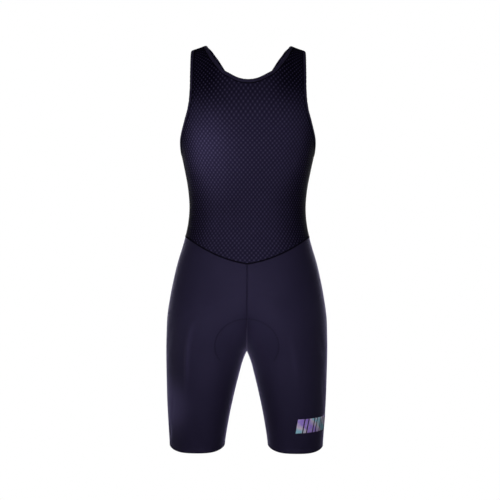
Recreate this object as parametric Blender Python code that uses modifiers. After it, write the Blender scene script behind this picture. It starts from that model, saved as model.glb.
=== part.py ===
"""Cycling bib shorts: a mesh bib with a racer back, sewn to smooth stretch shorts with a seat pad.

Frame: metres, +Z up, the wearer's front towards -Y and the wearer's left towards +X. The origin lies
midway between the tops of the two shoulder straps, and the garment hangs below it.

A drop is a distance below the origin. A turn is an angle round the body, -90 degrees at the centre front,
0 at the side and 90 at the centre back. Each panel is cut from one smooth body form, and its cloth is
a wall that lies inside that form.
"""

from bisect import bisect_right
from collections import namedtuple
from math import asin, atan2, cos, hypot, pi, radians, sin, sqrt

import bmesh
import bpy
import numpy as np
from mathutils import Vector

COLLECTION = "bib_shorts"

# Cloth, in metres.
WALL = 0.0015
HALF_SEAM = 0.00018
SEAM_STRIP = 0.002
BINDING_WIDTH = 0.0055
BINDING_WALL = 0.0021
BINDING_PROUD = 0.0004
PAD_WALL = 0.006
PAD_GAP = 0.0033

# The body form. Its sections are rounder than a box and fuller than an ellipse, whose power is 2.
Section = namedtuple("Section", "drop half_width front back")
SECTIONS = (
    Section(0.160, 0.1490, 0.1060, 0.1000),
    Section(0.190, 0.1462, 0.1075, 0.0990),
    Section(0.219, 0.1393, 0.1068, 0.0962),
    Section(0.255, 0.1303, 0.1025, 0.0905),
    Section(0.295, 0.1222, 0.0945, 0.0830),
    Section(0.335, 0.1191, 0.0885, 0.0782),
    Section(0.372, 0.1224, 0.0890, 0.0805),
    Section(0.409, 0.1313, 0.0925, 0.0920),
    Section(0.446, 0.1425, 0.0972, 0.1060),
    Section(0.483, 0.1513, 0.1010, 0.1185),
    Section(0.520, 0.1583, 0.1035, 0.1280),
    Section(0.557, 0.1635, 0.1030, 0.1300),
    Section(0.595, 0.1650, 0.0985, 0.1210),
    Section(0.629, 0.1654, 0.0930, 0.1050),
    Section(0.680, 0.1644, 0.0865, 0.0920),
    Section(0.730, 0.1629, 0.0795, 0.0830),
    Section(0.780, 0.1600, 0.0710, 0.0745),
    Section(0.821, 0.1572, 0.0640, 0.0670),
)
POWER = 2.2

# The legs part at the crotch. Above it the sections close towards it over the fork's height.
CROTCH = 0.629
FORK_HEIGHT = 0.150
FORK_END = 0.9
HEM = 0.821
HEM_FRONT_DIP = 0.010
HEM_BACK_DIP = 0.006
HEM_DIP_HEIGHT = 0.110
Inseam = namedtuple("Inseam", "drop from_centre")
INSEAM = (
    Inseam(0.629, 0.0000),
    Inseam(0.642, 0.0055),
    Inseam(0.656, 0.0102),
    Inseam(0.681, 0.0166),
    Inseam(0.705, 0.0226),
    Inseam(0.755, 0.0335),
    Inseam(0.797, 0.0408),
    Inseam(0.821, 0.0442),
)

# The waist seam is a shallow V in front and rises towards the back.
WAIST_FRONT = 0.4485
WAIST_SLOPE = 0.145
WAIST_BOW = 2.3
WAIST_SIDE = 0.392
WAIST_BACK_RISE = 0.026
WAIST_FADE = 0.150

# Over the chest and the shoulder blades the form domes up to the ridge of the shoulders.
DOME_BASE = -0.160
DOME_ARC = 0.200
RIDGE_PEAK = 0.0323
RIDGE_SLOPE = 0.369
RIDGE_ROUND = 0.030
BODY_ROUND = 0.120
SIDE = BODY_ROUND * pi / 2
TOP = DOME_BASE + DOME_ARC

# Steps for working out a line, a normal and a place on the form.
CURVE_STEPS = 24
LINE_POINTS = 160
NORMAL_STEP = 0.0002
WAIST_PASSES = 6
REACH_HALVINGS = 24

# Edges of the bib as they are seen square on: distance from the centre, and drop.
Edge = namedtuple("Edge", "from_centre drop")
NECK_FRONT = (
    Edge(0.0000, 0.0807),
    Edge(0.0184, 0.0776),
    Edge(0.0363, 0.0685),
    Edge(0.0540, 0.0548),
    Edge(0.0758, 0.0225),
)
SHOULDER_INNER = Edge(0.0867, 0.0015)
NECK_BACK = (
    Edge(0.0740, 0.0100),
    Edge(0.0619, 0.0245),
    Edge(0.0494, 0.0426),
    Edge(0.0370, 0.0620),
    Edge(0.0200, 0.0820),
    Edge(0.0000, 0.0900),
)
UNDERARM = Edge(0.1393, 0.2190)
ARMHOLE_FRONT = (
    Edge(0.1365, 0.1930),
    Edge(0.1290, 0.1660),
    Edge(0.1215, 0.1330),
    Edge(0.1180, 0.0980),
    Edge(0.1178, 0.0580),
)
SHOULDER_OUTER = Edge(0.1165, 0.0121)
ARMHOLE_BACK = (
    Edge(0.1040, 0.0500),
    Edge(0.0850, 0.0950),
    Edge(0.0730, 0.1350),
    Edge(0.0740, 0.1700),
    Edge(0.0900, 0.2000),
    Edge(0.1180, 0.2160),
)

# Grid of a bib half. Its rows run from the centre front or back, and then from the neck, to the side
# seam, and then to the armhole. The row from the underarm meets the centre line at a share of its
# height, and the row from the lowest point of the neck meets the armhole at a share of its length.
Panel = namedtuple("Panel", "name back underarm_meets neck_meets")
PANELS = (
    Panel("front_bib", False, 0.50, 0.36),
    Panel("back_bib", True, 0.34, 0.50),
)
BIB_COLUMNS = 12
SIDE_SHARES = (0.0, 0.012, 0.17, 0.34, 0.51, 0.68, 0.84)
ARMHOLE_ROWS = 9
STRAP_ROWS = 10
SHOULDER_STRIP = 0.008

# Grid of a shorts half.
WAIST_LEVEL = 0.412
HIP_ROWS = 5
SPREAD_HEIGHT = 0.190
SPREAD_POWER = 4
FORK_SHARES = (0.16, 0.31, 0.45, 0.57, 0.68, 0.78, 0.87, 0.94, 0.985, 1.0)
LEG_ROWS = 9

# Soft folds of the shorts: where they lie, how long and wide they are, how deep, and their lean.
Fold = namedtuple("Fold", "side turn drop half_length half_width depth lean")
FOLDS = (
    Fold(-1, -62, 0.548, 0.040, 0.009, 0.0016, 24),
    Fold(1, -66, 0.536, 0.034, 0.010, 0.0012, -20),
    Fold(-1, -28, 0.600, 0.055, 0.012, 0.0014, 62),
    Fold(1, -36, 0.612, 0.048, 0.010, 0.0012, 66),
    Fold(-1, 40, 0.622, 0.050, 0.011, 0.0018, -14),
    Fold(1, 44, 0.630, 0.056, 0.012, 0.0016, -10),
    Fold(-1, 62, 0.470, 0.042, 0.010, 0.0012, 12),
    Fold(1, 58, 0.486, 0.036, 0.009, 0.0014, 18),
)

# The seat pad: half its width, along the rise seam from its front end to its back end.
PAD_FRONT = 0.558
PAD_BACK = 0.540
PadWidth = namedtuple("PadWidth", "drop half_width")
PAD_WIDTHS = (
    PadWidth(0.00, 0.052),
    PadWidth(0.16, 0.066),
    PadWidth(0.34, 0.056),
    PadWidth(0.50, 0.044),
    PadWidth(0.72, 0.072),
    PadWidth(1.00, 0.070),
)
PAD_ROUND = 0.16
PAD_BLUNT = 0.06
PAD_ROWS = 20
PAD_COLUMNS = 5
PAD_STEP = 0.0004
PAD_SEAM_POINTS = 201
PAD_REACH = (-0.12, 0.03)

# Colours in linear light, with roughness.
MESH_CLOTH = ("mesh_cloth", (0.019, 0.016, 0.033), 0.75)
STRETCH_CLOTH = ("stretch_cloth", (0.020, 0.017, 0.034), 0.45)
BINDING_CLOTH = ("binding_cloth", (0.008, 0.006, 0.014), 0.65)
PAD_FOAM = ("pad_foam", (0.030, 0.029, 0.036), 0.85)


def table(rows, column, drop):
    """Value of one column of a table at a drop, on a smooth curve through its rows."""
    knots = [row.drop for row in rows]
    values = [getattr(row, column) for row in rows]
    at = min(max(drop, knots[0]), knots[-1])
    low = min(max(bisect_right(knots, at) - 1, 0), len(knots) - 2)

    def slope(index):
        before = max(index - 1, 0)
        after = min(index + 1, len(knots) - 1)
        return (values[after] - values[before]) / (knots[after] - knots[before])

    span = knots[low + 1] - knots[low]
    t = (at - knots[low]) / span
    start = (1 + 2 * t) * (1 - t) ** 2 * values[low] + t * (1 - t) ** 2 * span * slope(low)
    end = t * t * (3 - 2 * t) * values[low + 1] - t * t * (1 - t) * span * slope(low + 1)
    return start + end


def ease(value):
    """A smooth step from 0 to 1."""
    share = min(max(value, 0.0), 1.0)
    return share * share * (3 - 2 * share)


def rounded(angle, power):
    """A unit section's point at an angle from +X."""
    across = abs(cos(angle))
    deep = abs(sin(angle))
    reach = (across**power + deep**power) ** (-1 / power)
    return reach * cos(angle), reach * sin(angle)


# ---- The bib's form: a place on it is its way round from a centre line, and its climb. The climb
# ---- runs up the front, over the shoulder at TOP, and down the back.


def ridge(across):
    """Height of the shoulder ridge at a distance from the centre."""
    return RIDGE_PEAK - RIDGE_SLOPE * hypot(across, RIDGE_ROUND)


def bib_point(place):
    """The form's point at a place."""
    around, climb = place
    rise = climb if climb <= TOP else 2 * TOP - climb
    column = "front" if climb <= TOP else "back"
    side = -1 if climb <= TOP else 1
    across, deep = rounded(pi / 2 - around / BODY_ROUND, POWER)
    drop = -min(rise, DOME_BASE)
    x = table(SECTIONS, "half_width", drop) * across
    y = side * table(SECTIONS, column, drop) * deep
    if rise <= DOME_BASE:
        return Vector((x, y, rise))
    lean = (rise - DOME_BASE) / DOME_ARC * pi / 2
    return Vector((x, y * cos(lean), DOME_BASE + (ridge(x) - DOME_BASE) * sin(lean)))


def bib_lifted(place, lift):
    """The form's point at a place, moved out along the form's normal."""
    around, climb = place
    along = bib_point((around + NORMAL_STEP, climb)) - bib_point((around - NORMAL_STEP, climb))
    up = bib_point((around, climb + NORMAL_STEP)) - bib_point((around, climb - NORMAL_STEP))
    return bib_point(place) + along.cross(up).normalized() * lift


def bib_place(edge, back=False):
    """The place on the form of a point that is given as it is seen square on."""
    drop = max(edge.drop, -DOME_BASE)
    across = min(edge.from_centre / table(SECTIONS, "half_width", drop), 1.0)
    deep = (1 - across**POWER) ** (1 / POWER)
    around = BODY_ROUND * (pi / 2 - atan2(deep, across))
    rise = -edge.drop
    if rise > DOME_BASE:
        share = (rise - DOME_BASE) / (ridge(edge.from_centre) - DOME_BASE)
        rise = DOME_BASE + DOME_ARC * asin(min(share, 1.0)) / (pi / 2)
    return np.array((around, 2 * TOP - rise if back else rise))


def smooth_line(places, before, after):
    """Evenly spaced places on a smooth line through the given ones; before and after set its ends."""
    knots = [before, *places, after]
    dense = []
    for index in range(1, len(knots) - 2):
        a, b, c, d = knots[index - 1 : index + 3]
        for t in np.linspace(0, 1, CURVE_STEPS, endpoint=False):
            bend = (2 * a - 5 * b + 4 * c - d) * t * t + (3 * b - a - 3 * c + d) * t**3
            dense.append(b + ((c - a) * t + bend) / 2)
    dense.append(knots[-2])
    return resample(np.array(dense), np.linspace(0, 1, LINE_POINTS))


def resample(line, shares):
    """Places on a line at shares of its length."""
    steps = np.hypot(*np.diff(line, axis=0).T)
    length = np.concatenate(([0], np.cumsum(steps)))
    at = np.asarray(shares) * length[-1]
    return np.column_stack([np.interp(at, length, line[:, axis]) for axis in (0, 1)])


def inset(line, width):
    """A line moved towards its left by a width."""
    run = np.gradient(line, axis=0)
    run /= np.hypot(*run.T)[:, None]
    return line + width * np.column_stack((-run[:, 1], run[:, 0]))


def mirrored(place, around=0.0):
    """A place on the other side of a line that runs up the form."""
    return np.array((2 * around - place[0], place[1]))


def neck_line():
    """The neck's edge on one half, from the centre front over the shoulder to the centre back."""
    front = [bib_place(edge) for edge in NECK_FRONT]
    back = [bib_place(edge, back=True) for edge in NECK_BACK]
    places = [*front, bib_place(SHOULDER_INNER), *back]
    return smooth_line(places, mirrored(places[1]), mirrored(places[-2]))


def armhole_line():
    """The armhole's edge from the underarm up the front, over the shoulder and down the back."""
    start = bib_place(UNDERARM)
    front = [bib_place(edge) for edge in ARMHOLE_FRONT]
    back = [bib_place(edge, back=True) for edge in ARMHOLE_BACK]
    end = bib_place(UNDERARM, back=True)
    places = [start, *front, bib_place(SHOULDER_OUTER), *back, end]
    return smooth_line(places, mirrored(places[1], SIDE), mirrored(places[-2], SIDE))


def part_at_shoulder(line, back):
    """The stretch of a line on one face, cut half a seam short of the shoulder seam."""
    limit = TOP + HALF_SEAM if back else TOP - HALF_SEAM
    kept = line[line[:, 1] > limit] if back else line[line[:, 1] < limit]
    order = np.argsort(line[:, 1])
    cut = np.interp(limit, line[order, 1], line[order, 0])
    end = np.array([(cut, limit)])
    return np.vstack((end, kept)) if back else np.vstack((kept, end))


def waist_drop(turn):
    """Drop of the waist seam at a turn round the body."""
    drop = WAIST_SIDE
    for _ in range(WAIST_PASSES):
        across = table(SECTIONS, "half_width", drop) * rounded(min(turn, 0.0), POWER)[0]
        drop = WAIST_FRONT - WAIST_SLOPE * across - WAIST_BOW * across * across
    return drop - WAIST_BACK_RISE * ease(turn / (pi / 2))


def waist_place(around, back):
    """The place of a bib panel's lower edge, at a way round from its centre line."""
    turn = (pi / 2 - around / BODY_ROUND) * (1 if back else -1)
    drop = waist_drop(turn) - HALF_SEAM
    return np.array((around, 2 * TOP + drop if back else -drop))


def waist_arounds():
    """Ways round, from the centre line, of the points of a bib panel's lower edge."""
    edge = SIDE - HALF_SEAM
    return [*np.linspace(0, edge - SEAM_STRIP, BIB_COLUMNS + 1), edge]


def bib_edges(back):
    """The edges of one half of a panel: its neck and its armhole, from below."""
    cut = BINDING_WIDTH + 2 * HALF_SEAM
    neck = part_at_shoulder(inset(neck_line(), -cut), back)
    armhole = part_at_shoulder(inset(armhole_line(), cut), back)
    if back:
        neck = neck[::-1]
        armhole = armhole[::-1]
    neck[0, 0] = 0.0
    armhole[0, 0] = SIDE - HALF_SEAM
    return neck, armhole


def bib_rows(panel):
    """Ends of a panel's rows: on its centre line and neck, and on its side seam and armhole."""
    neck, armhole = bib_edges(panel.back)
    centre = np.vstack((waist_place(0, panel.back), neck[0]))
    side = np.vstack((waist_place(SIDE - HALF_SEAM, panel.back), armhole[0]))
    low = np.array(SIDE_SHARES)
    middle = np.linspace(0, 1, ARMHOLE_ROWS, endpoint=False)
    high = np.array([*np.linspace(0, 1 - SHOULDER_STRIP, STRAP_ROWS), 1.0])
    inner = np.vstack((
        resample(centre, panel.underarm_meets * low),
        resample(centre, panel.underarm_meets + (1 - panel.underarm_meets) * middle),
        resample(neck, high),
    ))
    outer = np.vstack((
        resample(side, low),
        resample(armhole, panel.neck_meets * middle),
        resample(armhole, panel.neck_meets + (1 - panel.neck_meets) * high),
    ))
    return inner, outer


def bib_half(panel):
    """Grid of points of one half of the bib's front or back, from its centre line to its side."""
    inner, outer = bib_rows(panel)
    arounds = waist_arounds()
    bows = []
    for around in arounds:
        share = around / arounds[-1]
        bows.append(waist_place(around, panel.back) - inner[0] * (1 - share) - outer[0] * share)
    grid = []
    for row, (start, end) in enumerate(zip(inner, outer)):
        last = 1 - SEAM_STRIP / np.hypot(*(end - start))
        sag = 0.0
        if row < len(SIDE_SHARES):
            last = arounds[-2] / arounds[-1]
            sag = 1 - SIDE_SHARES[row]
        shares = [*np.linspace(0, last, BIB_COLUMNS + 1), 1.0]
        grid.append([
            bib_point(start + (end - start) * share + bow * sag) for share, bow in zip(shares, bows)
        ])
    return grid


# ---- The shorts' form: a half of the hips that closes, at the crotch, to a leg.


def leg_section(drop):
    """Centre, reach and closing angle of the section of the wearer's left half."""
    outer = table(SECTIONS, "half_width", drop)
    if drop >= CROTCH:
        inner = table(INSEAM, "from_centre", drop)
        return (outer + inner) / 2, (outer - inner) / 2, pi
    level = max(0.0, 1 - (CROTCH - drop) / FORK_HEIGHT)
    share = level * level * (3 - FORK_END + (FORK_END - 2) * level)
    reach = outer / (1 + share)
    deep = (1 - share**POWER) ** (1 / POWER)
    return outer - reach, reach, pi / 2 + atan2(share, deep)


def fold_depth(side, turn, drop):
    """How far the folds draw the cloth in."""
    total = 0.0
    for fold in FOLDS:
        if fold.side != side:
            continue
        along = (turn - radians(fold.turn)) * BODY_ROUND
        down = drop - fold.drop
        lean = radians(fold.lean)
        length = (along * cos(lean) + down * sin(lean)) / fold.half_length
        width = (down * cos(lean) - along * sin(lean)) / fold.half_width
        if abs(length) < 1 and abs(width) < 2:
            total += fold.depth * (1 - length * length) ** 2 * (1 - (width / 2) ** 2) ** 3
    return total


def shorts_point(side, share, drop):
    """A point of the shorts, at a share of the way round from the front seam to the back seam."""
    centre, reach, closing = leg_section(drop)
    depth = table(SECTIONS, "front" if share < 0.5 else "back", drop)
    way = 2 * share - 1
    spread = pi / 2 * (1 + ease((drop - CROTCH + FORK_HEIGHT) / SPREAD_HEIGHT))
    beyond = min(closing, pi - HALF_SEAM / depth) - spread
    turn = way * spread + beyond * way * abs(way) ** SPREAD_POWER
    across, deep = rounded(turn, POWER)
    drawn = 1 - fold_depth(side, turn, drop) / depth
    x = centre + reach * across * drawn + HALF_SEAM
    return Vector((side * x, depth * deep * drawn, -drop))


def shorts_levels():
    """Drops of the grid's rows, before the waist and the hem are shaped."""
    fork = CROTCH - FORK_HEIGHT
    hips = np.linspace(WAIST_LEVEL + SEAM_STRIP, fork, HIP_ROWS + 1)
    crotch = [fork + FORK_HEIGHT * share for share in FORK_SHARES]
    legs = np.linspace(CROTCH, HEM, LEG_ROWS + 1)[1:]
    return [WAIST_LEVEL, *hips, *crotch, *legs]


def shorts_row_drop(share, level):
    """Drop of a row at a share of the way round: the top row is the waist seam, the last the hem."""
    way = 2 * share - 1
    to_waist = waist_drop(way * pi / 2) + HALF_SEAM - WAIST_LEVEL
    from_waist = 1 - ease((level - WAIST_LEVEL) / WAIST_FADE)
    dip = HEM_FRONT_DIP if share < 0.5 else HEM_BACK_DIP
    to_hem = 1 - min((HEM - level) / HEM_DIP_HEIGHT, 1.0)
    return level + to_waist * from_waist + dip * (1 - cos(way * pi) ** 4) * to_hem**2


def shorts_half(side):
    """Grid of points of the wearer's left (1) or right (-1) half of the shorts."""
    front = [around / (2 * SIDE) for around in waist_arounds()[:-1]]
    front.insert(1, SEAM_STRIP / (2 * SIDE))
    shares = [*front, 0.5, *[1 - share for share in reversed(front)]]
    return [
        [shorts_point(side, share, shorts_row_drop(share, level)) for share in shares]
        for level in shorts_levels()
    ]


# ---- The seat pad lies on the inside of the shorts, along the rise seam.


def beyond_form(point):
    """Above 0 where a point lies outside the shorts' form."""
    centre, reach, _ = leg_section(-point.z)
    depth = table(SECTIONS, "front" if point.y < 0 else "back", -point.z)
    return (abs(point.x - centre) / reach) ** POWER + (abs(point.y) / depth) ** POWER - 1


def into_form(point, distance):
    """A point on the form, moved in along the form's normal."""
    axes = [Vector(axis) for axis in np.eye(3) * NORMAL_STEP]
    out = Vector([beyond_form(point + axis) - beyond_form(point - axis) for axis in axes])
    return point - out.normalized() * distance


def rise_line(count):
    """Points of the rise seam under the pad with their inward normals, from front to back."""
    line = []
    for share in np.linspace(0, 1, PAD_SEAM_POINTS):
        front = share < 0.5
        end = PAD_FRONT if front else PAD_BACK
        down = sin(share * pi) if front else sin((1 - share) * pi)
        drop = end + (CROTCH - end) * down
        _, _, closing = leg_section(min(drop, CROTCH - 1e-6))
        depth = table(SECTIONS, "front" if front else "back", drop)
        deep = depth * rounded(closing, POWER)[1]
        line.append((-deep if front else deep, -drop))
    line = resample(np.array(line), np.linspace(0, 1, count))
    run = np.gradient(line, axis=0)
    run /= np.hypot(*run.T)[:, None]
    return line, np.column_stack((-run[:, 1], run[:, 0]))


def pad_rib(seam, inward, width):
    """Points from the rise seam out to a width, along the form."""
    points = []
    travelled = 0.0
    normal = Vector((0, inward[0], inward[1]))
    while travelled < width:
        base = Vector((len(points) * PAD_STEP, seam[0], seam[1]))
        low, high = PAD_REACH
        for _ in range(REACH_HALVINGS):
            middle = (low + high) / 2
            if beyond_form(base + normal * middle) > 0:
                low = middle
            else:
                high = middle
        points.append(base + normal * high)
        if len(points) > 1:
            travelled += (points[-1] - points[-2]).length
    return points


def pad_half():
    """Grid of points of the pad's underside on the wearer's left, from the seam outwards."""
    line, normals = rise_line(PAD_ROWS + 1)
    grid = []
    for index, (seam, inward) in enumerate(zip(line, normals)):
        share = index / PAD_ROWS
        end = min(share, 1 - share) / PAD_ROUND
        taper = sqrt(1 - (1 - min(end + PAD_BLUNT, 1.0)) ** 2)
        width = table(PAD_WIDTHS, "half_width", share) * taper
        rib = pad_rib(seam, inward, width)
        picks = np.linspace(0, len(rib) - 1, PAD_COLUMNS + 1).round().astype(int)
        edge = rib[0] + Vector((0, inward[0], inward[1])) * (WALL + PAD_GAP)
        grid.append([edge, *[into_form(rib[pick], WALL + PAD_GAP) for pick in picks[1:]]])
    return grid


# ---- Making the objects.


def material(finish):
    """A Principled material with the finish's colour and roughness."""
    name, colour, roughness = finish
    made = bpy.data.materials.new(name)
    made.use_nodes = True
    shader = made.node_tree.nodes["Principled BSDF"]
    shader.inputs["Base Color"].default_value = (*colour, 1)
    shader.inputs["Roughness"].default_value = roughness
    return made


def surface(name, grid, collection, closed=False):
    """An open surface through a grid of points, row by row; closed joins the last row to the first."""
    shape = bmesh.new()
    rows = [[shape.verts.new(point) for point in row] for row in grid]
    if closed:
        rows.append(rows[0])
    for low, high in zip(rows, rows[1:]):
        for index in range(len(low) - 1):
            shape.faces.new((low[index], low[index + 1], high[index + 1], high[index]))
    mesh = bpy.data.meshes.new(name)
    shape.to_mesh(mesh)
    shape.free()
    mesh.shade_smooth()
    made = bpy.data.objects.new(name, mesh)
    collection.objects.link(made)
    return made


def flip(made):
    """Turns an open surface's faces round."""
    made.data.flip_normals()


def add_mirror(made):
    """Completes a half that ends on the centre plane."""
    mirror = made.modifiers.new("Mirror", "MIRROR")
    mirror.use_mirror_merge = True
    mirror.merge_threshold = 0.00002


def add_wall(made, thickness):
    """Gives an open surface its thickness, inwards."""
    wall = made.modifiers.new("Wall", "SOLIDIFY")
    wall.thickness = thickness
    wall.offset = -1.0
    wall.use_even_offset = True


def make_bib(collection, finish):
    """The bib's front and back, each cut in one piece."""
    for panel in PANELS:
        made = surface(panel.name, bib_half(panel), collection)
        if panel.back:
            flip(made)
        made.data.materials.append(finish)
        add_mirror(made)
        add_wall(made, WALL)


def parallel(line, before, after, width):
    """A line moved to its left by a width, with its corners kept parallel."""
    run = np.diff(np.vstack((before, line, after)), axis=0)
    run /= np.hypot(*run.T)[:, None]
    normals = np.column_stack((-run[:, 1], run[:, 0]))
    middle = normals[:-1] + normals[1:]
    return line + width * middle * 2 / (middle**2).sum(axis=1)[:, None]


def binding_strip(line, before, after, sign):
    """Rows of three points across a binding that runs along a cut edge, with a crowned middle."""
    widths = [HALF_SEAM * 2 + BINDING_WIDTH * share for share in (0, 0.5, 1)]
    lines = [parallel(line, before, after, sign * width) for width in widths]
    lifts = (BINDING_PROUD, 2 * BINDING_PROUD, BINDING_PROUD)
    return [[bib_lifted(place, lift) for place, lift in zip(row, lifts)] for row in zip(*lines)]


def over_shoulder(front, back):
    """An edge's points up the front and down the back, with one point at the shoulder."""
    middle = (front[-1] + back[-1]) / 2
    return np.vstack((front[:-1], middle, back[-2::-1]))


def make_bindings(collection, finish):
    """The neck's binding and the two armholes' bindings, along the cut edges of the panels."""
    (inner, outer), (back_inner, back_outer) = [bib_rows(panel) for panel in PANELS]
    underarm_row = len(SIDE_SHARES)
    neck_row = underarm_row + ARMHOLE_ROWS
    line = over_shoulder(inner[neck_row:], back_inner[neck_row:])
    strip = binding_strip(line, mirrored(line[1]), mirrored(line[-2]), 1)
    neck = surface("neck_binding", strip, collection)
    neck.data.materials.append(finish)
    add_mirror(neck)
    add_wall(neck, BINDING_WALL)
    line = over_shoulder(outer[underarm_row:], back_outer[underarm_row:])
    line[0, 0] = line[-1, 0] = SIDE
    before = mirrored(line[1], SIDE)
    strip = binding_strip(line, before, mirrored(line[-2], SIDE), -1)[:-1]
    for name, side in (("armhole_binding_left", 1), ("armhole_binding_right", -1)):
        grid = [[Vector((side * p.x, p.y, p.z)) for p in row] for row in strip]
        loop = surface(name, grid, collection, closed=True)
        if side < 0:
            flip(loop)
        loop.data.materials.append(finish)
        add_wall(loop, BINDING_WALL)


def make_shorts(collection, finish):
    """The two halves of the shorts."""
    for name, side in (("shorts_left", 1), ("shorts_right", -1)):
        made = surface(name, shorts_half(side), collection)
        if side > 0:
            flip(made)
        made.data.materials.append(finish)
        add_wall(made, WALL)


def make_pad(collection, finish):
    """The seat pad, on the inside of the shorts."""
    made = surface("seat_pad", pad_half(), collection)
    for vertex in made.data.vertices:
        if vertex.co.x < 0.00001:
            vertex.co.x = 0.0
    flip(made)
    made.data.materials.append(finish)
    add_mirror(made)
    add_wall(made, PAD_WALL)


def main():
    """Clears the scene and makes the garment."""
    for old in list(bpy.data.objects):
        bpy.data.objects.remove(old)
    collection = bpy.data.collections.new(COLLECTION)
    bpy.context.scene.collection.children.link(collection)
    make_bib(collection, material(MESH_CLOTH))
    make_bindings(collection, material(BINDING_CLOTH))
    make_shorts(collection, material(STRETCH_CLOTH))
    make_pad(collection, material(PAD_FOAM))


main()
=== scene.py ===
"""Cycling bib shorts, dressed: mesh bib, bindings, stretch shorts, flat seams and a seat pad.

Frame: metres, +Z up, the wearer's front towards -Y, the wearer's left towards +X. A drop is a distance
below the shoulders. A turn is an angle round the body: -90 degrees at the centre front, 0 at the side
and 90 at the centre back.
"""

import logging
from dataclasses import dataclass, field
from enum import Enum
from math import pi, radians

import bmesh
import bpy
import numpy as np
from mathutils import Matrix, Vector
from mathutils.kdtree import KDTree


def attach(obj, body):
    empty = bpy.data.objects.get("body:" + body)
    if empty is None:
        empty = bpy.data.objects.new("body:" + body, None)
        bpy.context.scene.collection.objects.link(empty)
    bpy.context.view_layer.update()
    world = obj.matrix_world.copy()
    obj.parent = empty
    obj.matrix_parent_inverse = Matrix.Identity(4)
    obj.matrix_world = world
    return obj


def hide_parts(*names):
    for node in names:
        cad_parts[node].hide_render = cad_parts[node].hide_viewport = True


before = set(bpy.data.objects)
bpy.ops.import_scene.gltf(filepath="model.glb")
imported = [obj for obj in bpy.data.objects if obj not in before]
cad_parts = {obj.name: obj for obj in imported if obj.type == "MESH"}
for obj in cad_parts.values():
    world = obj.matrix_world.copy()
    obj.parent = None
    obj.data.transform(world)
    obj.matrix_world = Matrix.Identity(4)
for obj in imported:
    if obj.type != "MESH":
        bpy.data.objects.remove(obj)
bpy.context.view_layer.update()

log = logging.getLogger("bib_shorts")
Array = np.ndarray
Colour = tuple[float, float, float]
Shape = bmesh.types.BMesh
Piece = bpy.types.Object
Material = bpy.types.Material
Socket = bpy.types.NodeSocket
BODY = "root"
UV_MAP = "weave"
WELD = 0.000002
DEGENERATE = 0.00001
TAPE_THICK = 0.0014
VIOLET = (0.62, 0.55, 1.0)
WHITE = (1.0, 1.0, 1.0)


class Face(Enum):
    """The side of the garment that a bib panel covers."""

    FRONT = "front"
    BACK = "back"


class Side(Enum):
    """The wearer's side."""

    LEFT = 1
    RIGHT = -1


# ---- The garment's form.


@dataclass(frozen=True)
class Section:
    """One level section of the form: its drop, half its width, and its depths to front and back."""

    drop: float
    half_width: float
    front: float
    back: float


@dataclass(frozen=True)
class Inseam:
    """How far a leg's inner side is from the centre plane at a drop."""

    drop: float
    from_centre: float


@dataclass(frozen=True)
class Edge:
    """A point of a cut edge as it is seen square on: its distance from the centre, and its drop."""

    from_centre: float
    drop: float


@dataclass(frozen=True)
class Crease:
    """A soft trough, or a ridge where the depth is below 0.

    Its middle is at a turn, in degrees, and a drop. Its lean is in degrees from level.
    """

    turn: float
    drop: float
    half_length: float
    half_width: float
    depth: float
    lean: float
    bow: float = 0.35


def smooth_table(knots: Array, values: Array, at: Array) -> Array:
    """Values on a smooth curve through the rows of a table.

    Args:
        knots: The rows' places, rising.
        values: The rows' values.
        at: Where the curve is read.

    Returns:
        The curve's values there.
    """
    place = np.clip(at, knots[0], knots[-1])
    low = np.clip(np.searchsorted(knots, place, side="right") - 1, 0, len(knots) - 2)
    before = np.maximum(np.arange(len(knots)) - 1, 0)
    after = np.minimum(np.arange(len(knots)) + 1, len(knots) - 1)
    slopes = (values[after] - values[before]) / (knots[after] - knots[before])
    span = knots[low + 1] - knots[low]
    t = (place - knots[low]) / span
    start = (1 + 2 * t) * (1 - t) ** 2 * values[low] + t * (1 - t) ** 2 * span * slopes[low]
    end = t * t * (3 - 2 * t) * values[low + 1] - t * t * (1 - t) * span * slopes[low + 1]
    return start + end


def ease(value: Array) -> Array:
    """A smooth step from 0 to 1."""
    share = np.clip(value, 0.0, 1.0)
    return share * share * (3 - 2 * share)


def unit(vectors: Array) -> Array:
    """Vectors of length 1."""
    return vectors / np.maximum(np.linalg.norm(vectors, axis=-1, keepdims=True), 1e-12)


def lengths(line: Array) -> Array:
    """The way along a line to each of its points."""
    return np.concatenate(([0], np.cumsum(np.linalg.norm(np.diff(line, axis=0), axis=1))))


def resample(line: Array, count: int) -> Array:
    """A line's points, spaced evenly along it.

    Args:
        line: Points in rows.
        count: How many points to return.

    Returns:
        The evenly spaced points.
    """
    length = lengths(line)
    at = np.linspace(0, length[-1], count)
    return np.column_stack([np.interp(at, length, column) for column in line.T])


def smooth_line(places: list[Array], before: Array, after: Array, count: int, fine: int = 24) -> Array:
    """Evenly spaced places on a smooth line through the given ones.

    Args:
        places: The places on the line.
        before: The place that sets how the line starts.
        after: The place that sets how it ends.
        count: How many places to return.
        fine: Steps between one given place and the next.

    Returns:
        The places, in rows.
    """
    knots = [before, *places, after]
    dense = []
    for a, b, c, d in zip(knots, knots[1:], knots[2:], knots[3:]):
        for t in np.linspace(0, 1, fine, endpoint=False):
            bend = (2 * a - 5 * b + 4 * c - d) * t * t + (3 * b - a - 3 * c + d) * t**3
            dense.append(b + ((c - a) * t + bend) / 2)
    dense.append(knots[-2])
    return resample(np.array(dense), count)


def mirrored(place: Array, around: float = 0.0) -> Array:
    """A place on the other side of a line that runs up the form."""
    return np.array((2 * around - place[0], place[1]))


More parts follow.
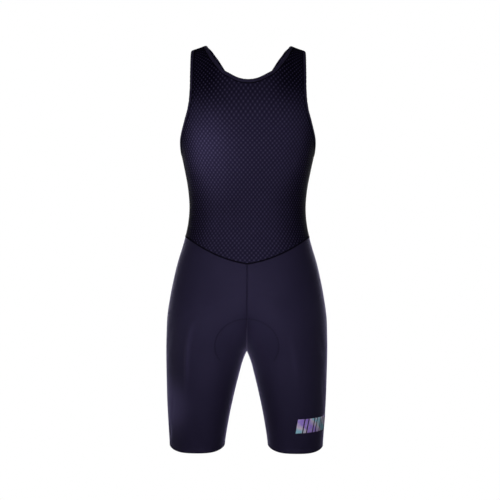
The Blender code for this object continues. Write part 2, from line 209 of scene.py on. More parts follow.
def crease_depth(creases: tuple[Crease, ...], turn: Array, drop: Array, radius: float) -> Array:
    """How far a set of creases draws the cloth in.

    Args:
        creases: The creases.
        turn: Turns round the body, in radians.
        drop: Drops.
        radius: The mean radius that turns a turn into a length.

    Returns:
        The depth at each place.
    """
    total = np.zeros_like(turn)
    for crease in creases:
        lean = radians(crease.lean)
        along = (turn - radians(crease.turn)) * radius
        down = drop - crease.drop
        length = (along * np.cos(lean) + down * np.sin(lean)) / crease.half_length
        width = (down * np.cos(lean) - along * np.sin(lean)) / crease.half_width
        width = width + crease.bow * length * length
        fade = np.clip(1 - length * length, 0, 1) ** 2
        total += crease.depth * fade * np.clip(1 - (width / 2) ** 2, 0, 1) ** 3
    return total


@dataclass(frozen=True)
class BodyForm:
    """The smooth form that every panel is cut from."""

    sections: tuple[Section, ...] = (
        Section(0.160, 0.1450, 0.1060, 0.1000),
        Section(0.190, 0.1425, 0.1075, 0.0990),
        Section(0.219, 0.1374, 0.1068, 0.0962),
        Section(0.255, 0.1297, 0.1025, 0.0905),
        Section(0.295, 0.1222, 0.0945, 0.0830),
        Section(0.335, 0.1191, 0.0885, 0.0782),
        Section(0.372, 0.1224, 0.0890, 0.0805),
        Section(0.409, 0.1313, 0.0925, 0.0920),
        Section(0.446, 0.1425, 0.0972, 0.1060),
        Section(0.483, 0.1513, 0.1010, 0.1185),
        Section(0.520, 0.1583, 0.1035, 0.1280),
        Section(0.557, 0.1635, 0.1030, 0.1300),
        Section(0.595, 0.1650, 0.0985, 0.1210),
        Section(0.629, 0.1654, 0.0930, 0.1050),
        Section(0.680, 0.1644, 0.0865, 0.0920),
        Section(0.730, 0.1629, 0.0795, 0.0830),
        Section(0.780, 0.1600, 0.0710, 0.0745),
        Section(0.821, 0.1572, 0.0640, 0.0670),
    )
    inseam: tuple[Inseam, ...] = (
        Inseam(0.629, 0.0000),
        Inseam(0.642, 0.0055),
        Inseam(0.656, 0.0102),
        Inseam(0.681, 0.0166),
        Inseam(0.705, 0.0226),
        Inseam(0.755, 0.0335),
        Inseam(0.797, 0.0408),
        Inseam(0.821, 0.0442),
    )
    power: float = 2.2
    crotch: float = 0.629
    fork_height: float = 0.150
    fork_end: float = 0.9
    spread_height: float = 0.190
    spread_power: int = 4
    hem: float = 0.821
    hem_front_dip: float = 0.010
    hem_back_dip: float = 0.006
    hem_dip_height: float = 0.110
    waist_front: float = 0.4485
    waist_slope: float = 0.145
    waist_bow: float = 2.3
    waist_side: float = 0.392
    waist_back_rise: float = 0.026
    waist_fade: float = 0.150
    waist_level: float = 0.412
    dome_base: float = -0.160
    dome_arc: float = 0.200
    ridge_peak: float = 0.0323
    ridge_slope: float = 0.369
    ridge_round: float = 0.030
    radius: float = 0.120
    half_seam: float = 0.00018
    waist_rounds: int = 6
    bib_step: float = 0.0005
    shorts_step: float = 0.0006
    share_step: float = 0.002
    rim_share: float = 0.9999

    @property
    def side(self) -> float:
        """The way round from a centre line to the side seam."""
        return self.radius * pi / 2

    @property
    def top(self) -> float:
        """The climb of the shoulder's ridge."""
        return self.dome_base + self.dome_arc

    def column(self, name: str, drop: Array) -> Array:
        """A column of the sections' table, at drops."""
        knots = np.array([row.drop for row in self.sections])
        return smooth_table(knots, np.array([getattr(row, name) for row in self.sections]), drop)

    def rounded(self, angle: Array) -> tuple[Array, Array]:
        """The unit section's points.

        Args:
            angle: Angles from +X.

        Returns:
            Their distances along +X and +Y.
        """
        across, deep = np.abs(np.cos(angle)), np.abs(np.sin(angle))
        reach = (across**self.power + deep**self.power) ** (-1 / self.power)
        return reach * np.cos(angle), reach * np.sin(angle)

    def ridge(self, across: Array) -> Array:
        """Height of the shoulder's ridge at distances from the centre."""
        return self.ridge_peak - self.ridge_slope * np.hypot(across, self.ridge_round)

    def bib(self, around: Array, climb: Array) -> Array:
        """Points of the bib's form.

        Args:
            around: Ways round from the centre line, below 0 on the wearer's right.
            climb: Ways up the front, over the shoulder, and down the back.

        Returns:
            The points, in rows.
        """
        front = climb <= self.top
        rise = np.where(front, climb, 2 * self.top - climb)
        drop = np.maximum(-rise, -self.dome_base)
        across, deep = self.rounded(pi / 2 - around / self.radius)
        x = self.column("half_width", drop) * across
        depth = np.where(front, -self.column("front", drop), self.column("back", drop))
        lean = np.clip((rise - self.dome_base) / self.dome_arc, 0, 1) * pi / 2
        above = self.dome_base + (self.ridge(x) - self.dome_base) * np.sin(lean)
        z = np.where(rise <= self.dome_base, rise, above)
        return np.column_stack((x, depth * deep * np.cos(lean), z))

    def bib_normal(self, around: Array, climb: Array) -> Array:
        """Outward normals of the bib's form.

        Args:
            around: Ways round from the centre line.
            climb: Ways up the front, over the shoulder, and down the back.

        Returns:
            The normals, in rows.
        """
        step = self.bib_step
        along = self.bib(around + step, climb) - self.bib(around - step, climb)
        up = self.bib(around, climb + step) - self.bib(around, climb - step)
        return unit(np.cross(along, up))

    def bib_place(self, edge: Edge, face: Face) -> Array:
        """The place on the bib's form of a point that is seen square on.

        Args:
            edge: The point, as it is seen.
            face: The side that it is seen from.

        Returns:
            Its way round and its climb.
        """
        drop = np.array(max(edge.drop, -self.dome_base))
        across = np.minimum(edge.from_centre / self.column("half_width", drop), 1.0)
        deep = (1 - across**self.power) ** (1 / self.power)
        around = self.radius * (pi / 2 - np.arctan2(deep, across))
        rise = -edge.drop
        if rise > self.dome_base:
            share = (rise - self.dome_base) / (self.ridge(edge.from_centre) - self.dome_base)
            rise = self.dome_base + self.dome_arc * np.arcsin(min(share, 1.0)) / (pi / 2)
        return np.array((float(around), 2 * self.top - rise if face is Face.BACK else rise))

    def waist_drop(self, turn: Array) -> Array:
        """Drops of the waist seam.

        Args:
            turn: Turns round the body, in radians.

        Returns:
            The drops, found in a few rounds because the body's breadth there depends on them.
        """
        drop = np.full_like(turn, self.waist_side)
        for _ in range(self.waist_rounds):
            across = self.column("half_width", drop) * self.rounded(np.minimum(turn, 0.0))[0]
            drop = self.waist_front - self.waist_slope * across - self.waist_bow * across * across
        return drop - self.waist_back_rise * ease(turn / (pi / 2))

    def waist_climb(self, around: Array, face: Face) -> Array:
        """Climb of the waist seam on a bib panel.

        Args:
            around: Ways round from the panel's centre line.
            face: The panel's side.

        Returns:
            The climbs.
        """
        turn = pi / 2 - np.abs(around) / self.radius
        if face is Face.BACK:
            return 2 * self.top + self.waist_drop(turn)
        return -self.waist_drop(-turn)

    def leg(self, drop: Array) -> tuple[Array, Array, Array]:
        """The sections of the wearer's left half of the shorts.

        Args:
            drop: Drops.

        Returns:
            Each section's centre, its reach to the side, and the angle at which it closes.
        """
        outer = self.column("half_width", drop)
        knots = np.array([row.drop for row in self.inseam])
        inner = smooth_table(knots, np.array([row.from_centre for row in self.inseam]), drop)
        rise = np.clip(1 - (self.crotch - drop) / self.fork_height, 0, 1)
        share = np.clip(rise * rise * (3 - self.fork_end + (self.fork_end - 2) * rise), 0, 1)
        deep = (1 - share**self.power) ** (1 / self.power)
        below = drop >= self.crotch
        reach = np.where(below, (outer - inner) / 2, outer / (1 + share))
        centre = np.where(below, (outer + inner) / 2, outer - reach)
        return centre, reach, np.where(below, pi, pi / 2 + np.arctan2(share, deep))

    def shorts_turn(self, share: Array, drop: Array) -> Array:
        """Angles round a half's own section.

        Args:
            share: Shares of the way round from the front seam to the back seam.
            drop: Drops.

        Returns:
            The angles, in radians, with 0 at the side.
        """
        _, _, closing = self.leg(drop)
        way = 2 * share - 1
        rise = (drop - self.crotch + self.fork_height) / self.spread_height
        spread = pi / 2 * (1 + ease(rise))
        return way * spread + (closing - spread) * way * np.abs(way) ** self.spread_power

    def shorts(self, share: Array, drop: Array) -> Array:
        """Points of the wearer's left half of the shorts.

        Args:
            share: Shares of the way round from the front seam to the back seam.
            drop: Drops.

        Returns:
            The points, in rows.
        """
        centre, reach, _ = self.leg(drop)
        depth = np.where(share < 0.5, self.column("front", drop), self.column("back", drop))
        across, deep = self.rounded(self.shorts_turn(share, drop))
        x = np.maximum(centre + reach * across, 0) + self.half_seam
        return np.column_stack((x, depth * deep, -drop))

    def shorts_normal(self, share: Array, drop: Array) -> Array:
        """Outward normals of the wearer's left half of the shorts.

        Args:
            share: Shares of the way round from the front seam to the back seam.
            drop: Drops.

        Returns:
            The normals, in rows.
        """
        step, aside = self.shorts_step, self.share_step
        at = np.clip(share, 2 * aside, 1 - 2 * aside)
        along = self.shorts(at + aside, drop) - self.shorts(at - aside, drop)
        down = self.shorts(at, drop + step) - self.shorts(at, drop - step)
        return unit(np.cross(down, along))

    def row_drop(self, share: Array, level: Array) -> Array:
        """Drops of a row of the shorts: the top row is the waist seam, and the last the hem.

        Args:
            share: Shares of the way round from the front seam to the back seam.
            level: The row's mean drop.

        Returns:
            The drops.
        """
        way = 2 * share - 1
        to_waist = self.waist_drop(way * pi / 2) - self.waist_level
        from_waist = 1 - ease((level - self.waist_level) / self.waist_fade)
        dip = np.where(share < 0.5, self.hem_front_dip, self.hem_back_dip)
        to_hem = 1 - np.minimum((self.hem - level) / self.hem_dip_height, 1.0)
        return level + to_waist * from_waist + dip * (1 - np.cos(way * pi) ** 4) * to_hem**2

    def shorts_at(self, from_centre: Array, drop: Array, face: Face) -> tuple[Array, Array]:
        """Points and normals on the shorts, given as they are seen square on.

        Args:
            from_centre: Distances from the centre plane, below 0 on the wearer's right.
            drop: Drops.
            face: Whether the points are on the front or on the back.

        Returns:
            The points and their outward normals, in rows.
        """
        sign = np.where(from_centre < 0, -1.0, 1.0)
        flip = np.column_stack((sign, np.ones_like(sign), np.ones_like(sign)))
        across = np.abs(from_centre)
        sense = -1.0 if face is Face.FRONT else 1.0

        def at(x: Array, down: Array) -> Array:
            """How far in front or behind the cloth is.

            Args:
                x: Distances from the centre plane.
                down: Drops.

            Returns:
                Distances along +Y.
            """
            centre, reach, _ = self.leg(down)
            share = np.clip(np.abs(x - centre) / reach, 0, self.rim_share)
            return sense * self.column(face.value, down) * (1 - share**self.power) ** (1 / self.power)

        step = self.bib_step
        y = at(across, drop)
        slope_x = (at(across + step, drop) - at(across - step, drop)) / (2 * step)
        slope_z = (at(across, drop - step) - at(across, drop + step)) / (2 * step)
        normal = unit(np.column_stack((-slope_x, np.ones_like(y), -slope_z)) * sense)
        return np.column_stack((across, y, -drop)) * flip, normal * flip


@dataclass(frozen=True)
class BibCut:
    """The cut edges of the bib's two panels."""

    form: BodyForm
    neck_front: tuple[Edge, ...] = (
        Edge(0.0000, 0.0807),
        Edge(0.0184, 0.0776),
        Edge(0.0363, 0.0685),
        Edge(0.0540, 0.0548),
        Edge(0.0758, 0.0225),
    )
    shoulder_inner: Edge = Edge(0.0867, 0.0015)
    neck_back: tuple[Edge, ...] = (
        Edge(0.0740, 0.0100),
        Edge(0.0619, 0.0245),
        Edge(0.0494, 0.0426),
        Edge(0.0370, 0.0620),
        Edge(0.0200, 0.0820),
        Edge(0.0000, 0.0900),
    )
    underarm: Edge = Edge(0.1374, 0.2190)
    armhole_front: tuple[Edge, ...] = (
        Edge(0.1376, 0.1930),
        Edge(0.1306, 0.1660),
        Edge(0.1215, 0.1330),
        Edge(0.1180, 0.0980),
        Edge(0.1178, 0.0580),
    )
    shoulder_outer: Edge = Edge(0.1165, 0.0121)
    armhole_back: tuple[Edge, ...] = (
        Edge(0.1040, 0.0500),
        Edge(0.0850, 0.0950),
        Edge(0.0730, 0.1350),
        Edge(0.0740, 0.1700),
        Edge(0.0900, 0.2000),
        Edge(0.1180, 0.2160),
    )

    def neck(self, count: int = 320) -> Array:
        """The neck's edge on the left half, from the centre front over the shoulder to the back.

        Args:
            count: How many places to return.

        Returns:
            Places on the bib's form, in rows.
        """
        front = [self.form.bib_place(edge, Face.FRONT) for edge in self.neck_front]
        back = [self.form.bib_place(edge, Face.BACK) for edge in self.neck_back]
        places = [*front, self.form.bib_place(self.shoulder_inner, Face.FRONT), *back]
        return smooth_line(places, mirrored(places[1]), mirrored(places[-2]), count)

    def armhole(self, count: int = 380) -> Array:
        """The left armhole's edge, from the underarm up the front and down the back.

        Args:
            count: How many places to return.

        Returns:
            Places on the bib's form, in rows.
        """
        start = self.form.bib_place(self.underarm, Face.FRONT)
        front = [self.form.bib_place(edge, Face.FRONT) for edge in self.armhole_front]
        back = [self.form.bib_place(edge, Face.BACK) for edge in self.armhole_back]
        end = self.form.bib_place(self.underarm, Face.BACK)
        places = [start, *front, self.form.bib_place(self.shoulder_outer, Face.FRONT), *back, end]
        side = self.form.side
        line = smooth_line(places, mirrored(places[1], side), mirrored(places[-2], side), count)
        line[[0, -1], 0] = side
        return line


# ---- Finishes.


class Nodes:
    """A material's node tree, with short calls for the nodes that the finishes use."""

    def __init__(self, name: str, roughness: float, gloss: float, tint: Colour = VIOLET) -> None:
        """Starts a material with one Principled shader.

        Args:
            name: The material's name.
            roughness: How matt it is.
            gloss: The shader's specular level.
            tint: The colour of its gloss.
        """
        self.material = bpy.data.materials.new(name)
        self.material.use_nodes = True
        self.tree = self.material.node_tree
        self.shader = self.tree.nodes["Principled BSDF"]
        self.shader.inputs["Roughness"].default_value = roughness
        self.shader.inputs["Specular IOR Level"].default_value = gloss
        self.shader.inputs["Specular Tint"].default_value = (*tint, 1)

    def add(self, kind: str, **settings: object) -> bpy.types.Node:
        """Adds a node.

        Args:
            kind: Its type.
            settings: Its properties.

        Returns:
            The node.
        """
        node = self.tree.nodes.new(kind)
        for name, value in settings.items():
            setattr(node, name, value)
        return node

    def join(self, source: Socket, target: Socket) -> None:
        """Links two sockets."""
        self.tree.links.new(source, target)

    def maths(self, operation: str, *values: object, clamp: bool = False) -> Socket:
        """Adds a Math node.

        Args:
            operation: What it does.
            values: Its inputs, numbers or sockets.
            clamp: Whether its result stays from 0 to 1.

        Returns:
            Its output.
        """
        node = self.add("ShaderNodeMath", operation=operation, use_clamp=clamp)
        for socket, value in zip(node.inputs, values):
            if isinstance(value, Socket):
                self.join(value, socket)
            else:
                socket.default_value = value
        return node.outputs[0]

    def noise(self, vector: Socket, scale: float, detail: float = 3.0) -> Socket:
        """Adds a noise texture.

        Args:
            vector: Where it is read.
            scale: Its scale.
            detail: Its detail.

        Returns:
            Its value.
        """
        node = self.add("ShaderNodeTexNoise")
        node.inputs["Scale"].default_value = scale
        node.inputs["Detail"].default_value = detail
        self.join(vector, node.inputs["Vector"])
        return node.outputs["Fac"]

    def ramp(self, value: Socket, stops: tuple[tuple[float, Colour], ...]) -> Socket:
        """Adds a colour ramp.

        Args:
            value: Where it is read.
            stops: Its places with their linear colours.

        Returns:
            The colour.
        """
        node = self.add("ShaderNodeValToRGB")
        while len(node.color_ramp.elements) < len(stops):
            node.color_ramp.elements.new(0.5)
        for element, (place, colour) in zip(node.color_ramp.elements, stops):
            element.position = place
            element.color = (*colour, 1)
        self.join(value, node.inputs["Fac"])
        return node.outputs["Color"]

    def mix(self, factor: object, first: object, second: object, blend: str = "MIX") -> Socket:
        """Adds a colour Mix node.

        Args:
            factor: The second colour's share.
            first: The first colour.
            second: The second colour.
            blend: How they blend.

        Returns:
            The colour.
        """
        node = self.add("ShaderNodeMix", data_type="RGBA", blend_type=blend)
        for socket, value in zip((node.inputs[0], node.inputs[6], node.inputs[7]), (factor, first, second)):
            if isinstance(value, Socket):
                self.join(value, socket)
            elif isinstance(value, tuple):
                socket.default_value = (*value, 1)
            else:
                socket.default_value = value
        return node.outputs[2]

    def bump(self, height: Socket, strength: float, distance: float) -> None:
        """Feeds a height to the shader's normal.

        Args:
            height: The height, about 0 to 1.
            strength: How much of it shows.
            distance: What 1 stands for, in metres.
        """
        node = self.add("ShaderNodeBump")
        node.inputs["Strength"].default_value = strength
        node.inputs["Distance"].default_value = distance
        self.join(height, node.inputs["Height"])
        self.join(node.outputs["Normal"], self.shader.inputs["Normal"])

    def uv(self) -> tuple[Socket, Socket, Socket]:
        """Reads the piece's own UV map.

        Returns:
            Its vector, and its two parts.
        """
        source = self.add("ShaderNodeUVMap", uv_map=UV_MAP)
        parts = self.add("ShaderNodeSeparateXYZ")
        self.join(source.outputs["UV"], parts.inputs[0])
        return source.outputs["UV"], parts.outputs[0], parts.outputs[1]

    def place(self) -> Socket:
        """Object coordinates."""
        return self.add("ShaderNodeTexCoord").outputs["Object"]

    def sheen(self, weight: float, roughness: float) -> None:
        """Sets the shader's sheen.

        Args:
            weight: How strong it is.
            roughness: How wide it spreads.
        """
        self.shader.inputs["Sheen Weight"].default_value = weight
        self.shader.inputs["Sheen Roughness"].default_value = roughness
        self.shader.inputs["Sheen Tint"].default_value = (*VIOLET, 1)

    def attribute(self, name: str) -> Socket:
        """A value that the piece's vertices hold."""
        return self.add("ShaderNodeAttribute", attribute_name=name).outputs["Fac"]

    def wave(self, value: Socket, per_metre: float) -> Socket:
        """A cosine of a length, with so many waves in a metre."""
        return self.maths("COSINE", self.maths("MULTIPLY_ADD", value, per_metre * 2 * pi, 0.0))

    def weighed(self, *parts: tuple[Socket, float], base: object = 0.0) -> Socket:
        """Adds values up.

        Args:
            parts: Each value with its weight.
            base: What they are added to.

        Returns:
            The sum.
        """
        total = base
        for value, weight in parts:
            total = self.maths("MULTIPLY_ADD", value, weight, total)
        return total

    def colour(self, colour: Socket) -> None:
        """Feeds a colour to the shader."""
        self.join(colour, self.shader.inputs["Base Color"])


@dataclass(frozen=True)
class MeshKnit:
    """Open mesh knit: light knots on a staggered lattice, with dark holes between them.

    Its colours are those of hole, yarn and knot: plain, and with painted shade that darkens the holes and
    yarn at the straps and sides.
    """

    across: float = 0.0077
    along: float = 0.0097
    bias: float = 0.10
    closed: tuple[Colour, ...] = (
        (0.0096, 0.0074, 0.0224),
        (0.0172, 0.0141, 0.0360),
        (0.0450, 0.0382, 0.0825),
    )
    # Painted shade: darker holes and yarn where the light falls off at the straps and sides.
    shaded_colours: tuple[Colour, ...] = (
        (0.0010, 0.0007, 0.0034),
        (0.0038, 0.0028, 0.0102),
        (0.0440, 0.0372, 0.0810),
    )
    hole_end: float = 0.08
    yarn_start: float = 0.42
    yarn_end: float = 0.68
    knot_start: float = 0.98
    fuzz_share: float = 0.16
    blotch_low: float = 0.85
    blotch_range: float = 0.30
    relief: float = 0.0006

    def material(self) -> Material:
        """Makes the material.

        Returns:
            The material, which reads how open the mesh is from the attribute "openness".
        """
        nodes = Nodes("mesh_knit", 0.62, 0.05)
        _, u, v = nodes.uv()
        place = nodes.place()
        slant = nodes.maths("MULTIPLY", v, self.across / self.along)
        rise = nodes.wave(nodes.maths("SUBTRACT", u, slant), 1 / self.across)
        fall = nodes.wave(nodes.maths("ADD", u, slant), 1 / self.across)
        fuzz = nodes.noise(place, 900.0, 2.0)
        swing = nodes.maths("SUBTRACT", fuzz, 0.5)
        steps = ((rise, 0.25 + self.bias / 4), (fall, 0.25 - self.bias / 4), (swing, self.fuzz_share))
        level = nodes.weighed(*steps, base=0.5)
        places = (self.hole_end, self.yarn_start, self.yarn_end, self.knot_start)
        colours = [
            nodes.ramp(level, tuple(zip(places, (hole, yarn, yarn, knot))))
            for hole, yarn, knot in (self.closed, self.shaded_colours)
        ]
        shade = nodes.maths("MULTIPLY_ADD", nodes.noise(place, 11.0, 3.0), self.blotch_range, self.blotch_low)
        tint = nodes.add("ShaderNodeCombineXYZ")
        for socket in tint.inputs:
            nodes.join(shade, socket)
        # Painted shade: mixes towards the darker colours by the vertex attribute.
        knit = nodes.mix(nodes.attribute("painted_shade"), *colours)
        nodes.colour(nodes.mix(1.0, knit, tint.outputs[0], "MULTIPLY"))
        nodes.bump(nodes.weighed((rise, 0.5), (fall, 0.5), (fuzz, 0.35)), 0.5, self.relief)
        return nodes.material


@dataclass(frozen=True)
class StretchKnit:
    """Smooth, dense stretch knit with fine wales and a soft sheen."""

    wales: float = 1250.0
    courses: float = 1050.0
    lean: float = 2.2
    base: Colour = (0.0170, 0.0138, 0.0358)
    light: Colour = (0.0202, 0.0166, 0.0415)
    dark: Colour = (0.0142, 0.0113, 0.0306)
    # Painted light: the lighter colour over the pad's front and on raised creases.
    painted_glow: Colour = (0.0300, 0.0250, 0.0600)
    roughness: float = 0.54
    roughness_range: float = 0.16
    relief: float = 0.00016

    def material(self) -> Material:
        """Makes the material.

        Returns:
            The material, which reads how taut the cloth is from the attribute "stretch".
        """
        nodes = Nodes("stretch_knit", 0.60, 0.20)
        _, u, v = nodes.uv()
        place = nodes.place()
        wale = nodes.wave(u, self.wales)
        chevron = nodes.weighed((v, self.courses * 2 * pi), (nodes.maths("ABSOLUTE", wale), self.lean))
        course = nodes.maths("COSINE", chevron)
        heather = nodes.noise(place, 1400.0, 2.0)
        level = nodes.weighed((heather, 0.45), (nodes.noise(place, 9.0, 4.0), 0.55))
        colour = nodes.ramp(level, ((0.30, self.dark), (0.50, self.base), (0.70, self.light)))
        # Painted light: mixes towards the lighter colour by the vertex attribute.
        nodes.colour(nodes.mix(nodes.attribute("stretch"), colour, self.painted_glow))
        rough = nodes.maths("MULTIPLY_ADD", heather, self.roughness_range, self.roughness)
        nodes.join(rough, nodes.shader.inputs["Roughness"])
        nodes.sheen(0.60, 0.30)
        nodes.bump(nodes.weighed((wale, 0.5), (course, 0.30), (heather, 0.30)), 0.30, self.relief)
        return nodes.material


@dataclass(frozen=True)
class RibBand:
    """Elastic binding with fine ribs along it."""

    name: str = "rib_band"
    ribs: float = 1100.0
    ticks: float = 640.0
    base: Colour = (0.0150, 0.0120, 0.0310)
    light: Colour = (0.0270, 0.0225, 0.0520)
    gloss: float = 0.20
    fluff: float = 0.20
    relief: float = 0.00022

    def material(self) -> Material:
        """Makes the material.

        Returns:
            The material.
        """
        nodes = Nodes(self.name, 0.60, self.gloss)
        _, u, v = nodes.uv()
        rib, tick = nodes.wave(v, self.ribs), nodes.wave(u, self.ticks)
        fuzz = nodes.noise(nodes.place(), 1100.0, 2.0)
        level = nodes.weighed((tick, 0.10), (rib, 0.22), (fuzz, 0.30), base=0.30)
        nodes.colour(nodes.ramp(level, ((0.15, self.base), (0.95, self.light))))
        nodes.sheen(self.fluff, 0.4)
        nodes.bump(nodes.weighed((tick, 0.35), (rib, 0.5), base=fuzz), 0.45, self.relief)
        return nodes.material


@dataclass(frozen=True)
class Thread:
    """Twisted polyester thread."""

    name: str = "thread"
    base: Colour = (0.0095, 0.0076, 0.0205)
    light: Colour = (0.0150, 0.0122, 0.0318)
    gloss: float = 0.12
    relief: float = 0.00012

    def material(self) -> Material:
        """Makes the material.

        Returns:
            The material.
        """
        nodes = Nodes(self.name, 0.50, self.gloss)
        twist = nodes.noise(nodes.place(), 2600.0, 1.0)
        nodes.colour(nodes.ramp(twist, ((0.30, self.base), (0.72, self.light))))
        nodes.bump(twist, 0.4, self.relief)
        return nodes.material


@dataclass(frozen=True)
class PadCloth:
    """Brushed cloth bonded to the seat pad's foam."""

    base: Colour = (0.0300, 0.0280, 0.0450)
    light: Colour = (0.0620, 0.0590, 0.0860)
    relief: float = 0.0005

    def material(self) -> Material:
        """Makes the material.

        Returns:
            The material.
        """
        nodes = Nodes("pad_cloth", 0.88, 0.15)
        place = nodes.place()
        nap = nodes.noise(place, 620.0, 4.0)
        level = nodes.weighed((nap, 0.6), (nodes.noise(place, 26.0, 2.0), 0.4))
        nodes.colour(nodes.ramp(level, ((0.32, self.base), (0.68, self.light))))
        nodes.sheen(0.30, 0.5)
        nodes.bump(nap, 0.6, self.relief)
        return nodes.material


@dataclass(frozen=True)
class HoloFilm:
    """Reflective film whose colour runs from violet to teal and back."""

    violet: Colour = (0.46, 0.28, 0.95)
    teal: Colour = (0.32, 0.76, 0.95)
    silver: Colour = (0.86, 0.76, 0.95)
    runs_along: float = 13.0
    runs_across: float = 16.0
    metallic: float = 0.15
    relief: float = 0.0001

    def material(self) -> Material:
        """Makes the material.

        Returns:
            The material.
        """
        nodes = Nodes("holo_film", 0.34, 0.5, WHITE)
        uv, u, v = nodes.uv()
        run = nodes.weighed((v, self.runs_across), (u, self.runs_along), base=nodes.noise(uv, 55.0, 1.0))
        colours = (self.violet, self.silver, self.teal, self.silver, self.violet)
        stops = tuple(zip((0.0, 0.30, 0.52, 0.75, 1.0), colours))
        nodes.colour(nodes.ramp(nodes.maths("FRACT", run), stops))
        nodes.shader.inputs["Metallic"].default_value = self.metallic
        nodes.bump(nodes.noise(nodes.place(), 3200.0, 0.0), 0.25, self.relief)
        return nodes.material


# ---- Making pieces.


def new_piece(name: str, bm: Shape, material: Material) -> Piece:
    """Turns a bmesh into a smooth piece that rides on the garment.

    Args:
        name: The piece's name.
        bm: Its shape, which is freed.
        material: Its finish.

    Returns:
        The piece.
    """
    mesh = bpy.data.meshes.new(name)
    bm.to_mesh(mesh)
    bm.free()
    mesh.shade_smooth()
    mesh.materials.append(material)
    piece = bpy.data.objects.new(name, mesh)
    bpy.context.scene.collection.objects.link(piece)
    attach(piece, BODY)
    log.info("%s: %d faces", name, len(mesh.polygons))
    return piece


def add_wall(piece: Piece, thickness: float) -> None:
    """Gives an open piece its thickness, inwards.

    Args:
        piece: The piece.
        thickness: Through its wall.
    """
    wall = piece.modifiers.new("Wall", "SOLIDIFY")
    wall.thickness = thickness
    wall.offset = -1.0
    wall.use_even_offset = False


def coordinates(bm: Shape) -> Array:
    """The vertices' places, in rows."""
    return np.array([vert.co[:] for vert in bm.verts])


def move_to(bm: Shape, points: Array) -> None:
    """Moves every vertex to its new place."""
    for vert, point in zip(bm.verts, points):
        vert.co = point


def write_uv(bm: Shape, uv: Array) -> None:
    """Writes the UV map that the finishes read.

    Args:
        bm: The shape.
        uv: One pair for each vertex, in metres.
    """
    layer = bm.loops.layers.uv.new(UV_MAP)
    bm.verts.index_update()
    for face in bm.faces:
        for loop in face.loops:
            loop[layer].uv = uv[loop.vert.index]


def write_value(bm: Shape, name: str, values: Array) -> None:
    """Writes an attribute for the finishes to read.

    Args:
        bm: The shape.
        name: The attribute's name.
        values: One value for each vertex.
    """
    layer = bm.verts.layers.float.new(name)
    for vert, value in zip(bm.verts, values):
        vert[layer] = value


def new_grid(columns: int, rows: int) -> tuple[Shape, Array, Array]:
    """A flat grid of faces.

    Args:
        columns: Faces across.
        rows: Faces up.

    Returns:
        The bmesh, and each vertex's share of the way across and up.
    """
    bm = bmesh.new()
    bmesh.ops.create_grid(bm, x_segments=columns, y_segments=rows, size=0.5)
    places = coordinates(bm) + 0.5
    return bm, places[:, 0], places[:, 1]


def outward(bm: Shape, normals: Array, every: int = 17) -> None:
    """Turns all the faces round where most look against the normals of their surface.

    Args:
        bm: The shape.
        normals: The surface's normals at its vertices.
        every: Only one face in so many is looked at.
    """
    bm.normal_update()
    bm.verts.index_update()
    agree = sum(face.normal.dot(Vector(normals[face.verts[0].index])) for face in list(bm.faces)[::every])
    if agree < 0:
        bmesh.ops.reverse_faces(bm, faces=bm.faces)


@dataclass
class Run:
    """A line that lies on the cloth, with the cloth's normals and the line's own sideways direction."""

    points: Array
    normals: Array
    closed: bool = False

    def __post_init__(self) -> None:
        """Works out the line's directions."""
        line = self.points
        if self.closed:
            ahead = np.roll(line, -1, axis=0) - np.roll(line, 1, axis=0)
        else:
            ahead = np.gradient(line, axis=0)
        self.ahead = unit(ahead)
        self.sideways = unit(np.cross(self.normals, self.ahead))

    @property
    def length(self) -> float:
        """The line's length."""
        line = np.vstack((self.points, self.points[:1])) if self.closed else self.points
        return float(np.linalg.norm(np.diff(line, axis=0), axis=1).sum())

    def spaced(self, pitch: float) -> "Run":
        """The same line with its points spaced evenly.

        Args:
            pitch: About how far apart.

        Returns:
            The line.
        """
        rows = np.hstack((self.points, self.normals))
        if self.closed:
            rows = np.vstack((rows, rows[:1]))
        length = lengths(rows[:, :3])
        count = max(4, round(length[-1] / pitch))
        at = np.linspace(0, length[-1], count + 1)
        if self.closed:
            at = at[:-1]
        rows = np.column_stack([np.interp(at, length, column) for column in rows.T])
        return Run(rows[:, :3], unit(rows[:, 3:]), self.closed)

    def moved(self, sideways: float, out: float) -> "Run":
        """The line moved across and away from the cloth."""
        return Run(self.points + self.sideways * sideways + self.normals * out, self.normals, self.closed)


def sweep(
    name: str, run: Run, profile: list[tuple[float, float]], material: Material
) -> Piece:
    """A band with a closed profile along a line.

    Args:
        name: The piece's name.
        run: The line.
        profile: The profile's points, as distances sideways and outwards.
        material: The finish.

    Returns:
        The band.
    """
    count = len(run.points)
    rows = count if run.closed else count - 1
    bm, across, along = new_grid(len(profile), rows)
    station = np.round(along * rows).astype(int) % count
    corner = np.round(across * len(profile)).astype(int)
    shape = np.array([*profile, profile[0]])
    girth = lengths(shape)
    offset = shape[corner]
    aside = run.sideways[station] * offset[:, :1]
    move_to(bm, run.points[station] + aside + run.normals[station] * offset[:, 1:])
    write_uv(bm, np.column_stack((along * run.length, girth[corner])))
    bmesh.ops.remove_doubles(bm, verts=bm.verts, dist=WELD)
    if not run.closed:
        rims = [edge for edge in bm.edges if edge.is_boundary]
        bmesh.ops.holes_fill(bm, edges=rims, sides=0)
    bmesh.ops.recalc_face_normals(bm, faces=bm.faces)
    return new_piece(name, bm, material)


def band_profile(width: float, thick: float, crown: float = 0.0, steps: int = 6) -> list[tuple[float, float]]:
    """Profile of a folded band.

    Args:
        width: Across the band.
        thick: Through it.
        crown: How far its middle stands out.
        steps: Points on each face.

    Returns:
        Points sideways and outwards, from the band's middle line.
    """
    squareness = 5
    points = []
    for at in np.linspace(-1, 1, steps):
        top = thick / 2 + crown * (1 - at * at)
        points.append((width / 2 * at, top * (1 - abs(at) ** squareness) ** 0.5))
    for at in np.linspace(1, -1, steps)[1:-1]:
        points.append((width / 2 * at, -thick / 2 * (1 - abs(at) ** squareness) ** 0.5))
    return points


